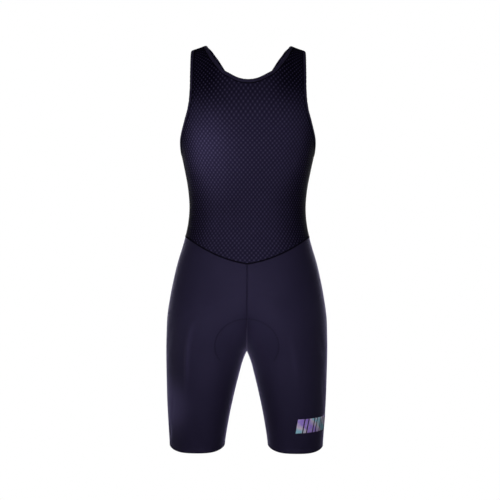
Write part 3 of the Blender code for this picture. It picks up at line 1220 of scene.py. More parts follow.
def lay_stitches(
    name: str, starts: Array, ends: Array, thickness: float, material: Material, slot: str
) -> Piece:
    """Thread stitches, each a slim bead from one point to another.

    Args:
        name: The piece's name.
        starts: The stitches' first points.
        ends: Their last points.
        thickness: The thread's radius.
        material: The finish.
        slot: Not used.

    Returns:
        The stitches, as one piece.
    """
    bead, batch = 0.56, 60
    whole = bmesh.new()
    for first in range(0, len(starts), batch):
        part = bmesh.new()
        for start, end in zip(starts[first : first + batch], ends[first : first + batch]):
            a, b = Vector(start), Vector(end)
            turn = (b - a).to_track_quat("X", "Z").to_matrix().to_4x4()
            size = Matrix.Diagonal(((b - a).length * bead, thickness, thickness, 1))
            place = Matrix.Translation((a + b) / 2) @ turn @ size
            bmesh.ops.create_icosphere(part, subdivisions=1, radius=1, matrix=place)
        held = bpy.data.meshes.new("batch")
        part.to_mesh(held)
        part.free()
        whole.from_mesh(held)
        bpy.data.meshes.remove(held)
    return new_piece(name, whole, material)


# ---- The garment's pieces.


@dataclass(frozen=True)
class PaintedShade:
    """Painted shade on the mesh: darker holes and yarn where the light falls off.

    It darkens the straps, more at their outer edges, and towards the sides, where it starts earlier
    below the chest, more so on the wearer's left. A breadth is a share of the way to the side.
    """

    strap_drop: float = 0.165
    strap_fade: float = 0.09
    strap_least: float = 0.35
    strap_inner: float = 0.03
    strap_spread: float = 0.05
    side_start: float = 0.72
    side_end: float = 0.97
    side_most: float = 0.95
    earlier_left: float = 0.40
    earlier_right: float = 0.22
    chest_drop: float = 0.24
    chest_fade: float = 0.08

    def share(self, x: Array, drop: Array, half_width: Array) -> Array:
        """How much painted shade the mesh takes.

        Args:
            x: Distances from the centre plane, below 0 on the wearer's right.
            drop: Drops.
            half_width: Half the body's width at each.

        Returns:
            A share for each place, from 0, unshaded, to 1, fully shaded.
        """
        across = np.abs(x)
        outer = ease((across - self.strap_inner) / self.strap_spread)
        strap = ease((self.strap_drop - drop) / self.strap_fade)
        strap = strap * (self.strap_least + (1 - self.strap_least) * outer)
        earlier = np.where(x > 0, self.earlier_left, self.earlier_right)
        start = self.side_start - earlier * ease((drop - self.chest_drop) / self.chest_fade)
        aside = ease((across / half_width - start) / (self.side_end - start))
        return np.maximum(strap, self.side_most * aside)


@dataclass
class BibPanel:
    """The bib's front or back, cut in one piece from open mesh knit."""

    form: BodyForm
    cut: BibCut
    face: Face
    knit: MeshKnit
    material: Material
    steps: int = 4
    relief: float = 0.00042
    knot_lift: float = 0.6
    hole_sink: float = 1.2
    wall: float = 0.0009
    # Painted shade at the straps and sides.
    painted_shade: PaintedShade = PaintedShade()
    snap: float = 1.05
    fine: int = 900
    armhole_fine: int = 1100
    waist_fine: int = 500
    side_fine: int = 300
    shoulder_fine: int = 120

    def outline(self) -> tuple[Array, Array, Array]:
        """The panel's edges on its left half.

        Returns:
            Places along the neck, the armhole with the side seam, and the waist and shoulder.
        """
        front = self.face is Face.FRONT
        limit = self.form.top
        neck, armhole = self.cut.neck(self.fine), self.cut.armhole(self.armhole_fine)
        neck = neck[neck[:, 1] <= limit] if front else neck[neck[:, 1] >= limit]
        armhole = armhole[armhole[:, 1] <= limit] if front else armhole[armhole[:, 1] >= limit]
        around = np.linspace(0, self.form.side, self.waist_fine)
        waist = np.column_stack((around, self.form.waist_climb(around, self.face)))
        up = np.linspace(waist[-1, 1], armhole[0 if front else -1, 1], self.side_fine)
        side = np.column_stack((np.full_like(up, self.form.side), up))
        end = -1 if front else 0
        over = np.linspace(neck[end, 0], armhole[end, 0], self.shoulder_fine)
        shoulder = np.column_stack((over, np.full_like(over, limit)))
        return neck, np.vstack((side, armhole)), np.vstack((waist, shoulder))

    def inside(self, around: Array, climb: Array, neck: Array, armhole: Array) -> Array:
        """Whether places lie inside the panel's outline.

        Args:
            around: Ways round from the centre line.
            climb: Their climbs.
            neck: The neck's edge.
            armhole: The side seam and the armhole's edge.

        Returns:
            True for those inside.
        """
        sense = 1 if self.face is Face.FRONT else -1
        rise = climb * sense

        def edge_at(line: Array, beyond: float) -> Array:
            """How far from the centre line an edge is at each place's climb."""
            order = np.argsort(line[:, 1] * sense)
            return np.interp(rise, line[order, 1] * sense, line[order, 0], left=beyond)

        span = np.abs(around)
        waist = self.form.waist_climb(around, self.face) * sense
        inner = edge_at(neck, -1.0)
        outer = edge_at(armhole[self.side_fine :], self.form.side)
        return (span <= outer) & (span >= inner) & (rise >= waist) & (rise <= self.form.top * sense)

    def trimmed(self, around: Array, climb: Array, pitch: float) -> tuple[Array, Array, set[int]]:
        """Fits a grid's places to the outline.

        Args:
            around: The places' ways round from the centre line.
            climb: Their climbs.
            pitch: From one row to the next.

        Returns:
            The places, with those just outside moved onto the outline, and which of them lie beyond it.
        """
        neck, armhole, rest = self.outline()
        keep = self.inside(around, climb, neck, armhole)
        edge = np.vstack((neck, armhole, rest))
        tree = KDTree(len(edge))
        for index, (x, y) in enumerate(edge):
            tree.insert((x, y, 0), index)
        tree.balance()
        outside = set()
        for index in np.flatnonzero(~keep):
            _, nearest, distance = tree.find((abs(around[index]), climb[index], 0))
            if distance > self.snap * pitch:
                outside.add(index)
                continue
            around[index] = edge[nearest, 0] * (1 if around[index] >= 0 else -1)
            climb[index] = edge[nearest, 1]
        return around, climb, outside

    def build(self) -> Piece:
        """Builds the panel.

        Returns:
            The panel.
        """
        pitch_u, pitch_v = self.knit.across / self.steps, self.knit.along / self.steps
        columns = 2 * int(np.ceil(self.form.side / pitch_u))
        climbs = np.vstack(self.outline()[1:])[:, 1]
        low = np.floor(climbs.min() / pitch_v) * pitch_v
        rows = int(np.ceil((climbs.max() - low) / pitch_v))
        bm, across, up = new_grid(columns, rows)
        grid = ((across - 0.5) * columns * pitch_u, low + up * rows * pitch_v)
        around, climb, outside = self.trimmed(*grid, pitch_v)
        u, v = 2 * pi * around / self.knit.across, 2 * pi * climb / self.knit.along
        lattice = np.cos(u) * np.cos(v)
        lift = self.relief * np.where(lattice > 0, self.knot_lift, self.hole_sink) * lattice
        normals = self.form.bib_normal(around, climb)
        points = self.form.bib(around, climb)
        move_to(bm, points + normals * lift[:, None])
        write_uv(bm, np.column_stack((around, climb)))
        drop = -points[:, 2]
        half_width = self.form.column("half_width", drop)
        # Painted shade: darker mesh at the straps and sides, where the light falls off.
        write_value(bm, "painted_shade", self.painted_shade.share(points[:, 0], drop, half_width))
        outward(bm, normals)
        doomed = [vert for index, vert in enumerate(bm.verts) if index in outside]
        bmesh.ops.delete(bm, geom=doomed, context="VERTS")
        loose = [vert for vert in bm.verts if not vert.link_faces]
        bmesh.ops.delete(bm, geom=loose, context="VERTS")
        bmesh.ops.dissolve_degenerate(bm, dist=DEGENERATE, edges=bm.edges)
        piece = new_piece(f"{self.face.value}_bib_mesh", bm, self.material)
        add_wall(piece, self.wall)
        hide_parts(f"{self.face.value}_bib")
        return piece


@dataclass
class Bindings:
    """The elastic bindings round the neck and the armholes, with their stitches."""

    form: BodyForm
    cut: BibCut
    band: Material
    dark_band: Material
    dark_thread: Material
    width: float = 0.0062
    thick: float = 0.0017
    crown: float = 0.0002
    inset: float = 0.0008
    tape: float = 0.0020
    pitch: float = 0.0026
    stitch: float = 0.0019
    stitch_lift: float = 0.00085
    stitch_lean: float = 0.4
    thread: float = 0.00026
    picot: float = 0.0036
    picot_thread: float = 0.00062

    def run_along(self, places: Array) -> Run:
        """The closed line on the cloth through places of the form."""
        around, climb = places.T
        return Run(self.form.bib(around, climb), self.form.bib_normal(around, climb), True)

    def make(self, name: str, node: str, run: Run, inward: float) -> Piece:
        """One binding, with the stitched tape that holds it to the mesh, coloured near-black as painted
        shadow between binding and mesh.

        Args:
            name: The piece's name.
            node: The solid that it stands for.
            run: The opening's edge.
            inward: 1 or -1, the way from the edge onto the cloth.

        Returns:
            The binding.
        """
        run = run.spaced(self.pitch)
        middle = run.moved(inward * (self.inset + self.width / 2), 0.0)
        profile = [(inward * x, y) for x, y in band_profile(self.width, self.thick, self.crown, 14)]
        band = sweep(name, middle, profile, self.band)
        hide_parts(node)
        edge = inward * (self.inset + self.width)
        # A stitched tape whose near-black colour is painted shadow between binding and mesh.
        tape = run.moved(edge + inward * self.tape / 2, 0.0)
        sweep(f"{name}_tape", tape, band_profile(self.tape, TAPE_THICK), self.dark_band)
        margin = 0.0003
        seam = run.moved(edge + inward * margin, self.stitch_lift).spaced(self.stitch)
        lean = seam.ahead * self.stitch * self.stitch_lean
        ends = seam.points + seam.sideways * inward * (self.tape - 2 * margin) + lean
        stitches = lay_stitches(
            f"{name}_stitches", seam.points, ends, self.thread, self.dark_thread, "binding"
        )
        return band

    def trim(self, run: Run) -> Piece:
        """The small loops along the back neck's outer edge.

        Args:
            run: The neck's edge.

        Returns:
            The loops.
        """
        line = run.spaced(self.picot)
        behind = line.points[:, 1] > 0.0
        reach = line.ahead * self.picot * 0.22
        ends = (line.points - reach)[behind], (line.points + reach)[behind]
        return lay_stitches("neck_trim", *ends, self.picot_thread, self.band, "binding")

    def build(self) -> None:
        """Builds the three bindings."""
        half = self.cut.neck()
        other = half[::-1][1:-1] * np.array((-1, 1))
        neck = self.run_along(np.vstack((half, other)))
        self.make("neck_band", "neck_binding", neck, -1.0)
        self.trim(neck)
        ring = self.run_along(self.cut.armhole()[:-1])
        self.make("left_armhole_band", "armhole_binding_left", ring, 1.0)
        turned = Run(ring.points[::-1] * (-1, 1, 1), ring.normals[::-1] * (-1, 1, 1), True)
        self.make("right_armhole_band", "armhole_binding_right", turned, 1.0)


@dataclass
class Shorts:
    """The two halves of the shorts, in smooth stretch knit."""

    form: BodyForm
    material: Material
    columns: int = 196
    rows: int = 168
    wall: float = 0.0010
    girth: float = 0.44
    groove: float = 0.0002
    groove_width: float = 0.0010
    # Painted highlight on raised creases, full at this lift:
    ridge_height: float = 0.0026
    ridge_most: float = 0.75
    # Painted light over the pad's front, kept weaker next to the seam:
    light_reach: float = 0.055
    light_drop: float = 0.545
    light_end: float = 0.66
    light_fade: float = 0.06
    light_most: float = 0.80
    seam_calm: float = 0.55
    seam_reach: float = 0.006
    left: tuple[Crease, ...] = (
        Crease(-66, 0.536, 0.034, 0.010, 0.0012, -20),
        Crease(-36, 0.612, 0.048, 0.010, 0.0006, 66),
        Crease(44, 0.630, 0.056, 0.012, 0.0016, -10),
        Crease(58, 0.486, 0.036, 0.009, 0.0014, 18),
        Crease(-82, 0.645, 0.065, 0.009, -0.0009, 88),
        Crease(-78, 0.510, 0.024, 0.006, 0.0007, 12),
        Crease(-58, 0.585, 0.030, 0.006, 0.0006, -32),
        Crease(-30, 0.705, 0.040, 0.008, 0.0006, 70),
        Crease(20, 0.560, 0.045, 0.008, 0.0008, 24),
        Crease(80, 0.560, 0.030, 0.007, 0.0008, -28),
        Crease(70, 0.610, 0.036, 0.007, 0.0009, -36),
        Crease(110, 0.665, 0.040, 0.007, 0.0007, 20),
        Crease(8, 0.720, 0.050, 0.009, 0.0006, 76),
        Crease(60, 0.760, 0.030, 0.008, 0.0005, 8),
    )
    right: tuple[Crease, ...] = (
        Crease(-62, 0.548, 0.040, 0.009, 0.0016, 24),
        Crease(-28, 0.600, 0.055, 0.012, 0.0006, 62),
        Crease(40, 0.622, 0.050, 0.011, 0.0018, -14),
        Crease(62, 0.470, 0.042, 0.010, 0.0012, 12),
        Crease(-65, 0.632, 0.100, 0.007, -0.0028, 96),
        Crease(-70, 0.532, 0.026, 0.006, 0.0008, 18),
        Crease(-55, 0.572, 0.030, 0.007, 0.0007, 34),
        Crease(-40, 0.740, 0.036, 0.008, 0.0006, 76),
        Crease(16, 0.600, 0.050, 0.009, 0.0008, -26),
        Crease(76, 0.575, 0.032, 0.007, 0.0008, 30),
        Crease(66, 0.640, 0.036, 0.008, 0.0008, 34),
        Crease(118, 0.680, 0.040, 0.008, 0.0007, -18),
        Crease(10, 0.730, 0.046, 0.009, 0.0006, -76),
        Crease(56, 0.770, 0.034, 0.008, 0.0005, -8),
        Crease(-26, 0.790, 0.024, 0.010, 0.0010, 64),
    )

    def stretch(self, across: Array, drop: Array, lift: Array) -> Array:
        """Painted light: how much lighter the cloth is coloured over the front of the pad, where the cloth
        turns away from the lamps, and as a painted highlight on raised creases.

        Args:
            across: Distances from the centre plane.
            drop: Drops.
            lift: How far the cloth is raised.

        Returns:
            A share for each place, from 0 to 1.
        """
        painted_glow = ease(1 - across / self.light_reach) * ease((drop - self.light_drop) / self.light_fade)
        painted_glow *= 1 - ease((drop - self.light_end) / self.light_fade)
        painted_glow *= 1 - self.seam_calm * np.exp(-((across / self.seam_reach) ** 2))
        raised = np.clip(lift / self.ridge_height, 0, 1)
        return np.maximum(self.light_most * painted_glow, self.ridge_most * raised)

    def half(self, side: Side) -> Piece:
        """Builds one half.

        Args:
            side: The wearer's side.

        Returns:
            The half.
        """
        bm, share, up = new_grid(self.columns, self.rows)
        level = self.form.hem + (self.form.waist_level - self.form.hem) * up
        drop = self.form.row_drop(share, level)
        points = self.form.shorts(share, drop)
        normals = self.form.shorts_normal(share, drop)
        turn = self.form.shorts_turn(share, drop)
        creases = self.left if side is Side.LEFT else self.right
        lift = -crease_depth(creases, turn, drop, self.form.radius)
        edge = np.minimum(share, 1 - share) * self.girth
        lift -= self.groove * np.exp(-((edge / self.groove_width) ** 2))
        points += normals * lift[:, None]
        points[:, 0] = np.maximum(points[:, 0], self.form.half_seam)
        grid = points.reshape(self.rows + 1, self.columns + 1, 3)
        girth = np.array([lengths(row) for row in grid])
        move_to(bm, points * (side.value, 1, 1))
        write_uv(bm, np.column_stack((girth.ravel(), -drop)))
        # Painted light: lighter cloth over the pad's front and on raised creases.
        write_value(bm, "stretch", self.stretch(points[:, 0], drop, lift))
        outward(bm, normals * (side.value, 1, 1))
        label = f"shorts_{side.name.lower()}"
        piece = new_piece(f"{label}_cloth", bm, self.material)
        add_wall(piece, self.wall)
        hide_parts(label)
        return piece

    def build(self) -> list[Piece]:
        """Builds both halves."""
        return [self.half(side) for side in Side]


@dataclass
class FlatSeams:
    """Flat seams where panels meet: a low band crossed by threads."""

    form: BodyForm
    cut: BibCut
    bands: dict[str, Material]
    threads: dict[str, Material]
    pitch: float = 0.0017
    band_pitch: float = 0.004
    thread: float = 0.00028
    thread_lift: float = 0.00008
    reach: float = 0.46
    lean: float = 0.30
    shoulder_margin: float = 0.0055
    shoulder_forward: float = 0.0045

    def seam(self, name: str, run: Run, width: float, proud: float, slot: str) -> Piece:
        """One seam: its band, and the threads across it.

        Args:
            name: The seam's name.
            run: The line where the panels meet.
            width: Across the band.
            proud: How far it stands out.
            slot: Which band and thread finishes the seam takes.

        Returns:
            The band.
        """
        line = run.spaced(self.band_pitch).moved(0, proud - TAPE_THICK / 2)
        band = sweep(name, line, band_profile(width, TAPE_THICK), self.bands[slot])
        rungs = run.spaced(self.pitch)
        half = rungs.sideways * width * self.reach
        lean = rungs.ahead * self.pitch * self.lean
        lift = rungs.normals * (proud + self.thread_lift)
        starts, ends = rungs.points - half - lean + lift, rungs.points + half + lean + lift
        lay_stitches(f"{name}_threads", starts, ends, self.thread, self.threads[slot], slot)
        return band

    def waist(self) -> Run:
        """The seam between bib and shorts, all the way round.

        Returns:
            The line.
        """
        turn = np.linspace(0, 2 * pi, 480, endpoint=False)
        front = turn < pi
        way = self.form.radius * np.where(front, turn - pi / 2, 3 * pi / 2 - turn)
        climb = np.where(front, self.form.waist_climb(way, Face.FRONT), self.form.waist_climb(way, Face.BACK))
        return Run(self.form.bib(way, climb), self.form.bib_normal(way, climb), True)

    def rise(self, face: Face) -> Run:
        """The centre seam of the shorts on one face, from the waist to the crotch.

        Args:
            face: Front or back.

        Returns:
            The line.
        """
        end = 0.0 if face is Face.FRONT else 1.0
        top = float(self.form.row_drop(np.array([end]), np.array([self.form.waist_level]))[0])
        drop = self.form.crotch - (self.form.crotch - top) * np.linspace(1, 0, 220) ** 2
        points = self.form.shorts(np.full_like(drop, end), drop)
        points[:, 0] = 0.0
        slope = np.gradient(points, axis=0)
        sense = 1.0 if face is Face.FRONT else -1.0
        normals = unit(np.cross(slope, np.tile((sense, 0.0, 0.0), (len(drop), 1))))
        return Run(points, normals * np.sign(-normals[0, 1] * sense))

    def side(self, side: Side) -> Run:
        """The bib's side seam.

        Args:
            side: The wearer's side.

        Returns:
            The line.
        """
        low = -float(self.form.waist_drop(np.array([0.0]))[0])
        high = float(self.form.bib_place(self.cut.underarm, Face.FRONT)[1]) - 0.004
        climb = np.linspace(low, high, 60)
        around = np.full_like(climb, side.value * self.form.side)
        return Run(self.form.bib(around, climb), self.form.bib_normal(around, climb))

    def shoulder(self, side: Side) -> Run:
        """A strap's shoulder seam, just in front of its ridge.

        Args:
            side: The wearer's side.

        Returns:
            The line.
        """
        inner = self.form.bib_place(self.cut.shoulder_inner, Face.FRONT)[0] + self.shoulder_margin
        outer = self.form.bib_place(self.cut.shoulder_outer, Face.FRONT)[0] - self.shoulder_margin
        around = side.value * np.linspace(inner, outer, 24)
        climb = np.full_like(around, self.form.top - self.shoulder_forward)
        return Run(self.form.bib(around, climb), self.form.bib_normal(around, climb))

    def build(self) -> None:
        """Builds every seam."""
        # The waist seam's near-black band is partly a flat seam and partly painted shadow along the join.
        self.seam("waist_seam", self.waist(), 0.0034, 0.0006, "binding")
        self.seam("front_rise_seam", self.rise(Face.FRONT), 0.0010, 0.0001, "stretch_knit")
        self.seam("back_rise_seam", self.rise(Face.BACK), 0.0018, 0.0003, "stretch_knit")
        for side in Side:
            label = side.name.lower()
            self.seam(f"{label}_side_seam", self.side(side), 0.0030, 0.0005, "mesh_knit")
            self.seam(f"{label}_shoulder_seam", self.shoulder(side), 0.0030, 0.0007, "binding")


@dataclass
class Hems:
    """The turned hems of the legs."""

    form: BodyForm
    band: Material
    thread: Material
    turn_up: float = 0.0042
    stitch: float = 0.0021
    swing: float = 0.0007
    stitch_lift: float = 0.00012
    stitch_thread: float = 0.00022
    edge_width: float = 0.0018
    edge_thick: float = 0.0019
    edge_inset: float = 0.0006

    def run_at(self, side: Side, above: float) -> Run:
        """A ring round the leg.

        Args:
            side: The wearer's side.
            above: How far it is above the hem.

        Returns:
            The ring.
        """
        share = np.linspace(0, 1, 240, endpoint=False)
        drop = self.form.row_drop(share, np.full_like(share, self.form.hem)) - above
        flip = (side.value, 1, 1)
        return Run(self.form.shorts(share, drop) * flip, self.form.shorts_normal(share, drop) * flip, True)

    def build(self) -> None:
        """Builds the rolled edge and the zigzag of each hem."""
        for side in Side:
            label = side.name.lower()
            edge = self.run_at(side, self.edge_inset).spaced(0.004).moved(0, -self.edge_inset)
            profile = band_profile(self.edge_width, self.edge_thick)
            sweep(f"{label}_hem_edge", edge, profile, self.band)
            line = self.run_at(side, self.turn_up).spaced(self.stitch)
            swing = np.where(np.arange(len(line.points)) % 2 == 0, 1.0, -1.0)[:, None]
            points = line.points + line.sideways * swing * self.swing + line.normals * self.stitch_lift
            ends = np.roll(points, -1, axis=0)
            name = f"{label}_hem_stitches"
            lay_stitches(name, points, ends, self.stitch_thread, self.thread, "stretch_knit")


@dataclass(frozen=True)
class Arc:
    """An arc of stitches as it is seen square on: its half width, height, centre's drop and overrun.

    The overrun is how far below its centre each end runs on, in degrees.
    """

    face: Face
    half_width: float
    height: float
    drop: float
    overrun: float


@dataclass
class PadOutline:
    """The stitches that hold the seat pad, showing through the shorts in front and behind."""

    form: BodyForm
    thread: Material
    arcs: tuple[Arc, ...] = (
        Arc(Face.FRONT, 0.064, 0.055, 0.613, 30),
        Arc(Face.BACK, 0.072, 0.060, 0.600, 8),
    )
    pitch: float = 0.0050
    swing: float = 0.0018
    lift: float = 0.0005
    thick: float = 0.0009

    def run(self, arc: Arc) -> Run:
        """The line of an arc on the cloth.

        Args:
            arc: The arc.

        Returns:
            The line.
        """
        angle = np.radians(np.linspace(-arc.overrun, 180 + arc.overrun, 220))
        across, drop = arc.half_width * np.cos(angle), arc.drop - arc.height * np.sin(angle)
        return Run(*self.form.shorts_at(across, drop, arc.face))

    def build(self) -> None:
        """Builds both arcs, each a row of stitches across its line."""
        for arc in self.arcs:
            line = self.run(arc).spaced(self.pitch)
            points = line.points + line.normals * self.lift
            reach = line.sideways * self.swing
            name = f"{arc.face.value}_pad_stitches"
            lay_stitches(name, points - reach, points + reach, self.thick, self.thread, "stretch_knit")


@dataclass(frozen=True)
class Block:
    """One slanted block of film: where it starts along the row, and how wide it is."""

    start: float
    width: float


@dataclass
class LegBlocks:
    """A plain row of slanted film blocks round the outside of the wearer's left leg."""

    form: BodyForm
    film: Material
    blocks: tuple[Block, ...] = (
        Block(0.0000, 0.0130),
        Block(0.0155, 0.0060),
        Block(0.0240, 0.0115),
        Block(0.0380, 0.0050),
        Block(0.0455, 0.0100),
        Block(0.0580, 0.0045),
        Block(0.0650, 0.0120),
        Block(0.0795, 0.0060),
        Block(0.0880, 0.0045),
    )
    pitch: float = 0.0005
    height: float = 0.0290
    length: float = 0.0940
    from_front: float = 0.256
    middle_drop: float = 0.7750
    climb: float = 0.045
    slant: float = 0.21
    lift: float = 0.00030
    thick: float = 0.0002
    rows: int = 18

    def build(self) -> Piece:
        """Builds the row.

        Returns:
            The blocks, as one piece.
        """
        share = np.linspace(0, 1, 801)
        girth = lengths(self.form.shorts(share, np.full_like(share, self.middle_drop)))
        start = np.interp(self.from_front, share, girth)
        bm, across, up = new_grid(round(self.length / self.pitch), self.rows)
        along = across * self.length
        row = along + self.slant * self.height * (up - 0.5)
        drop = self.middle_drop + self.height * (0.5 - up) - self.climb * along
        at = np.interp(start + row, girth, share)
        points, normals = self.form.shorts(at, drop), self.form.shorts_normal(at, drop)
        move_to(bm, points + normals * self.lift)
        write_uv(bm, np.column_stack((along, up * self.height)))
        outward(bm, normals)
        gaps = []
        for face in bm.faces:
            middle = sum(along[vert.index] for vert in face.verts) / len(face.verts)
            if not any(block.start <= middle <= block.start + block.width for block in self.blocks):
                gaps.append(face)
        bmesh.ops.delete(bm, geom=gaps, context="FACES")
        piece = new_piece("leg_blocks", bm, self.film)
        add_wall(piece, self.thick)
        return piece


@dataclass(frozen=True)
class PadWidth:
    """How wide half the pad is at a share of its length."""

    share: float
    width: float


@dataclass(frozen=True)
class Furrow:
    """A furrow along each half of the pad, in shares of its breadth and length.

    It has its middle, its half width, its two ends with their fade, and how much foam it leaves out.
    """

    middle: float
    half_width: float
    start: float
    end: float
    sink: float
    fade: float = 0.1

    def share(self, across: Array, along: Array) -> Array:
        """The share of the foam that it leaves.

        Args:
            across: Shares of the way from the seam to the rim.
            along: Shares of the way from front to back.

        Returns:
            A share for each place.
        """
        deep = np.exp(-(((across - self.middle) / self.half_width) ** 2))
        deep = deep * ease((along - self.start) / self.fade) * ease((self.end - along) / self.fade)
        return 1 - self.sink * deep


@dataclass
class SeatPad:
    """The moulded foam pad inside the shorts, along the rise seam."""

    form: BodyForm
    cloth: Material
    front_end: float = 0.558
    back_end: float = 0.540
    gap: float = 0.0040
    rim_thick: float = 0.0016
    thick: float = 0.0062
    round_end: float = 0.16
    blunt: float = 0.06
    rows: int = 84
    columns: int = 34
    widths: tuple[PadWidth, ...] = (
        PadWidth(0.00, 0.052),
        PadWidth(0.16, 0.066),
        PadWidth(0.34, 0.056),
        PadWidth(0.50, 0.044),
        PadWidth(0.72, 0.072),
        PadWidth(1.00, 0.070),
    )
    channel: Furrow = Furrow(0.40, 0.050, 0.10, 0.92, 0.45)
    slot: Furrow = Furrow(0.00, 0.055, 0.22, 0.80, 0.55)
    crown_reach: float = 0.42
    end_steepness: float = 5.0
    rib_reach: float = 0.09
    rib_step: float = 0.0004
    deepest: float = -0.12
    highest: float = 0.03
    halvings: int = 22
    slope_step: float = 0.0002

    def beyond(self, points: Array) -> Array:
        """Whether points lie outside the shorts' form.

        Args:
            points: Points in rows.

        Returns:
            A number for each, above 0 outside.
        """
        drop = -points[:, 2]
        centre, reach, _ = self.form.leg(drop)
        depth = np.where(points[:, 1] < 0, self.form.column("front", drop), self.form.column("back", drop))
        power = self.form.power
        across = np.abs(points[:, 0] - centre) / reach
        return across**power + (np.abs(points[:, 1]) / depth) ** power - 1

    def seam(self) -> tuple[Array, Array]:
        """The rise seam under the pad, in the centre plane, from front to back.

        Returns:
            Its points and their inward normals, as distances back and up.
        """
        share = np.linspace(0, 1, 401)
        front = share < 0.5
        end = np.where(front, self.front_end, self.back_end)
        down = np.where(front, np.sin(share * pi), np.sin((1 - share) * pi))
        drop = end + (self.form.crotch - end) * down
        _, _, closing = self.form.leg(np.minimum(drop, self.form.crotch - 1e-6))
        depth = np.where(front, self.form.column("front", drop), self.form.column("back", drop))
        deep = depth * self.form.rounded(closing)[1]
        line = resample(np.column_stack((np.where(front, -deep, deep), -drop)), self.rows + 1)
        run = unit(np.gradient(line, axis=0))
        return line, np.column_stack((-run[:, 1], run[:, 0]))

    def ribs(self) -> tuple[Array, Array]:
        """The pad's underside on the left half, from the seam outwards.

        Returns:
            Its points on the form, a row for each rib, and their inward normals.
        """
        line, inward = self.seam()
        share = np.linspace(0, 1, self.rows + 1)
        end = np.minimum(share, 1 - share) / self.round_end
        taper = np.sqrt(1 - (1 - np.minimum(end + self.blunt, 1.0)) ** 2)
        shares, widths = np.array([(row.share, row.width) for row in self.widths]).T
        width = smooth_table(shares, widths, share) * taper
        x = np.arange(0, self.rib_reach, self.rib_step)
        points = np.zeros((self.rows + 1, self.columns // 2 + 1, 3))
        for row in range(self.rows + 1):
            base = np.column_stack((x, np.full_like(x, line[row, 0]), np.full_like(x, line[row, 1])))
            normal = np.array((0, inward[row, 0], inward[row, 1]))
            low, high = np.full_like(x, self.deepest), np.full_like(x, self.highest)
            for _ in range(self.halvings):
                middle = (low + high) / 2
                out = self.beyond(base + normal * middle[:, None]) > 0
                low, high = np.where(out, middle, low), np.where(out, high, middle)
            rib = base + normal * high[:, None]
            at = np.linspace(0, width[row], points.shape[1])
            points[row] = np.column_stack([np.interp(at, lengths(rib), column) for column in rib.T])
        flat = points.reshape(-1, 3)
        axes = np.eye(3) * self.slope_step
        slope = np.column_stack([self.beyond(flat + axis) - self.beyond(flat - axis) for axis in axes])
        normals = -unit(slope).reshape(points.shape)
        normals[:, 0] = np.column_stack((np.zeros(self.rows + 1), inward))
        return points, normals

    def depth(self, across: Array, along: Array) -> Array:
        """How thick the foam is: crowned, with a channel on each side and a slot down the middle.

        Args:
            across: Shares of the way from the seam to the rim.
            along: Shares of the way from front to back.

        Returns:
            The thicknesses.
        """
        rim = np.minimum(1 - across, np.minimum(along, 1 - along) * self.end_steepness)
        crown = ease(rim / self.crown_reach)
        left = self.channel.share(across, along) * self.slot.share(across, along)
        return self.rim_thick + self.thick * crown * left

    def build(self) -> Piece:
        """Builds the pad: a crowned block with channels, its thin rim against the cloth.

        Returns:
            The pad.
        """
        points, normals = self.ribs()
        points = np.concatenate((points[:, :0:-1] * (-1, 1, 1), points), axis=1)
        normals = np.concatenate((normals[:, :0:-1] * (-1, 1, 1), normals), axis=1)
        bm, across, up = new_grid(self.columns, self.rows)
        column = np.round(across * self.columns).astype(int)
        row = np.round(up * self.rows).astype(int)
        base, inward = points[row, column], normals[row, column]
        depth = self.depth(np.abs(2 * across - 1), up)
        move_to(bm, base + inward * self.gap)
        made = bmesh.ops.extrude_face_region(bm, geom=list(bm.faces))
        top = [item for item in made["geom"] if isinstance(item, bmesh.types.BMVert)]
        flat = {tuple(np.round(vert.co, 6)): index for index, vert in enumerate(list(bm.verts)[: len(base)])}
        for vert in top:
            index = flat[tuple(np.round(vert.co, 6))]
            vert.co = vert.co + Vector(inward[index] * depth[index])
        bmesh.ops.recalc_face_normals(bm, faces=bm.faces)
        piece = new_piece("seat_pad_foam", bm, self.cloth)
        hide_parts("seat_pad")
        return piece


# ---- The studio.


@dataclass(frozen=True)
class Lamp:
    """A soft light, with what it looks at as a distance from the centre and a height.

    Its bearing from the front is in degrees, and its power in watts. A lamp with a cone, in degrees, is
    a spot that is soft to its middle, or a globe if the cone is the full circle. Others are square panels.
    """

    name: str
    bearing: float
    height: float
    distance: float
    size: float
    power: float
    aim: tuple[float, float] = (0.0043, -0.421)
    cone: float = 0.0


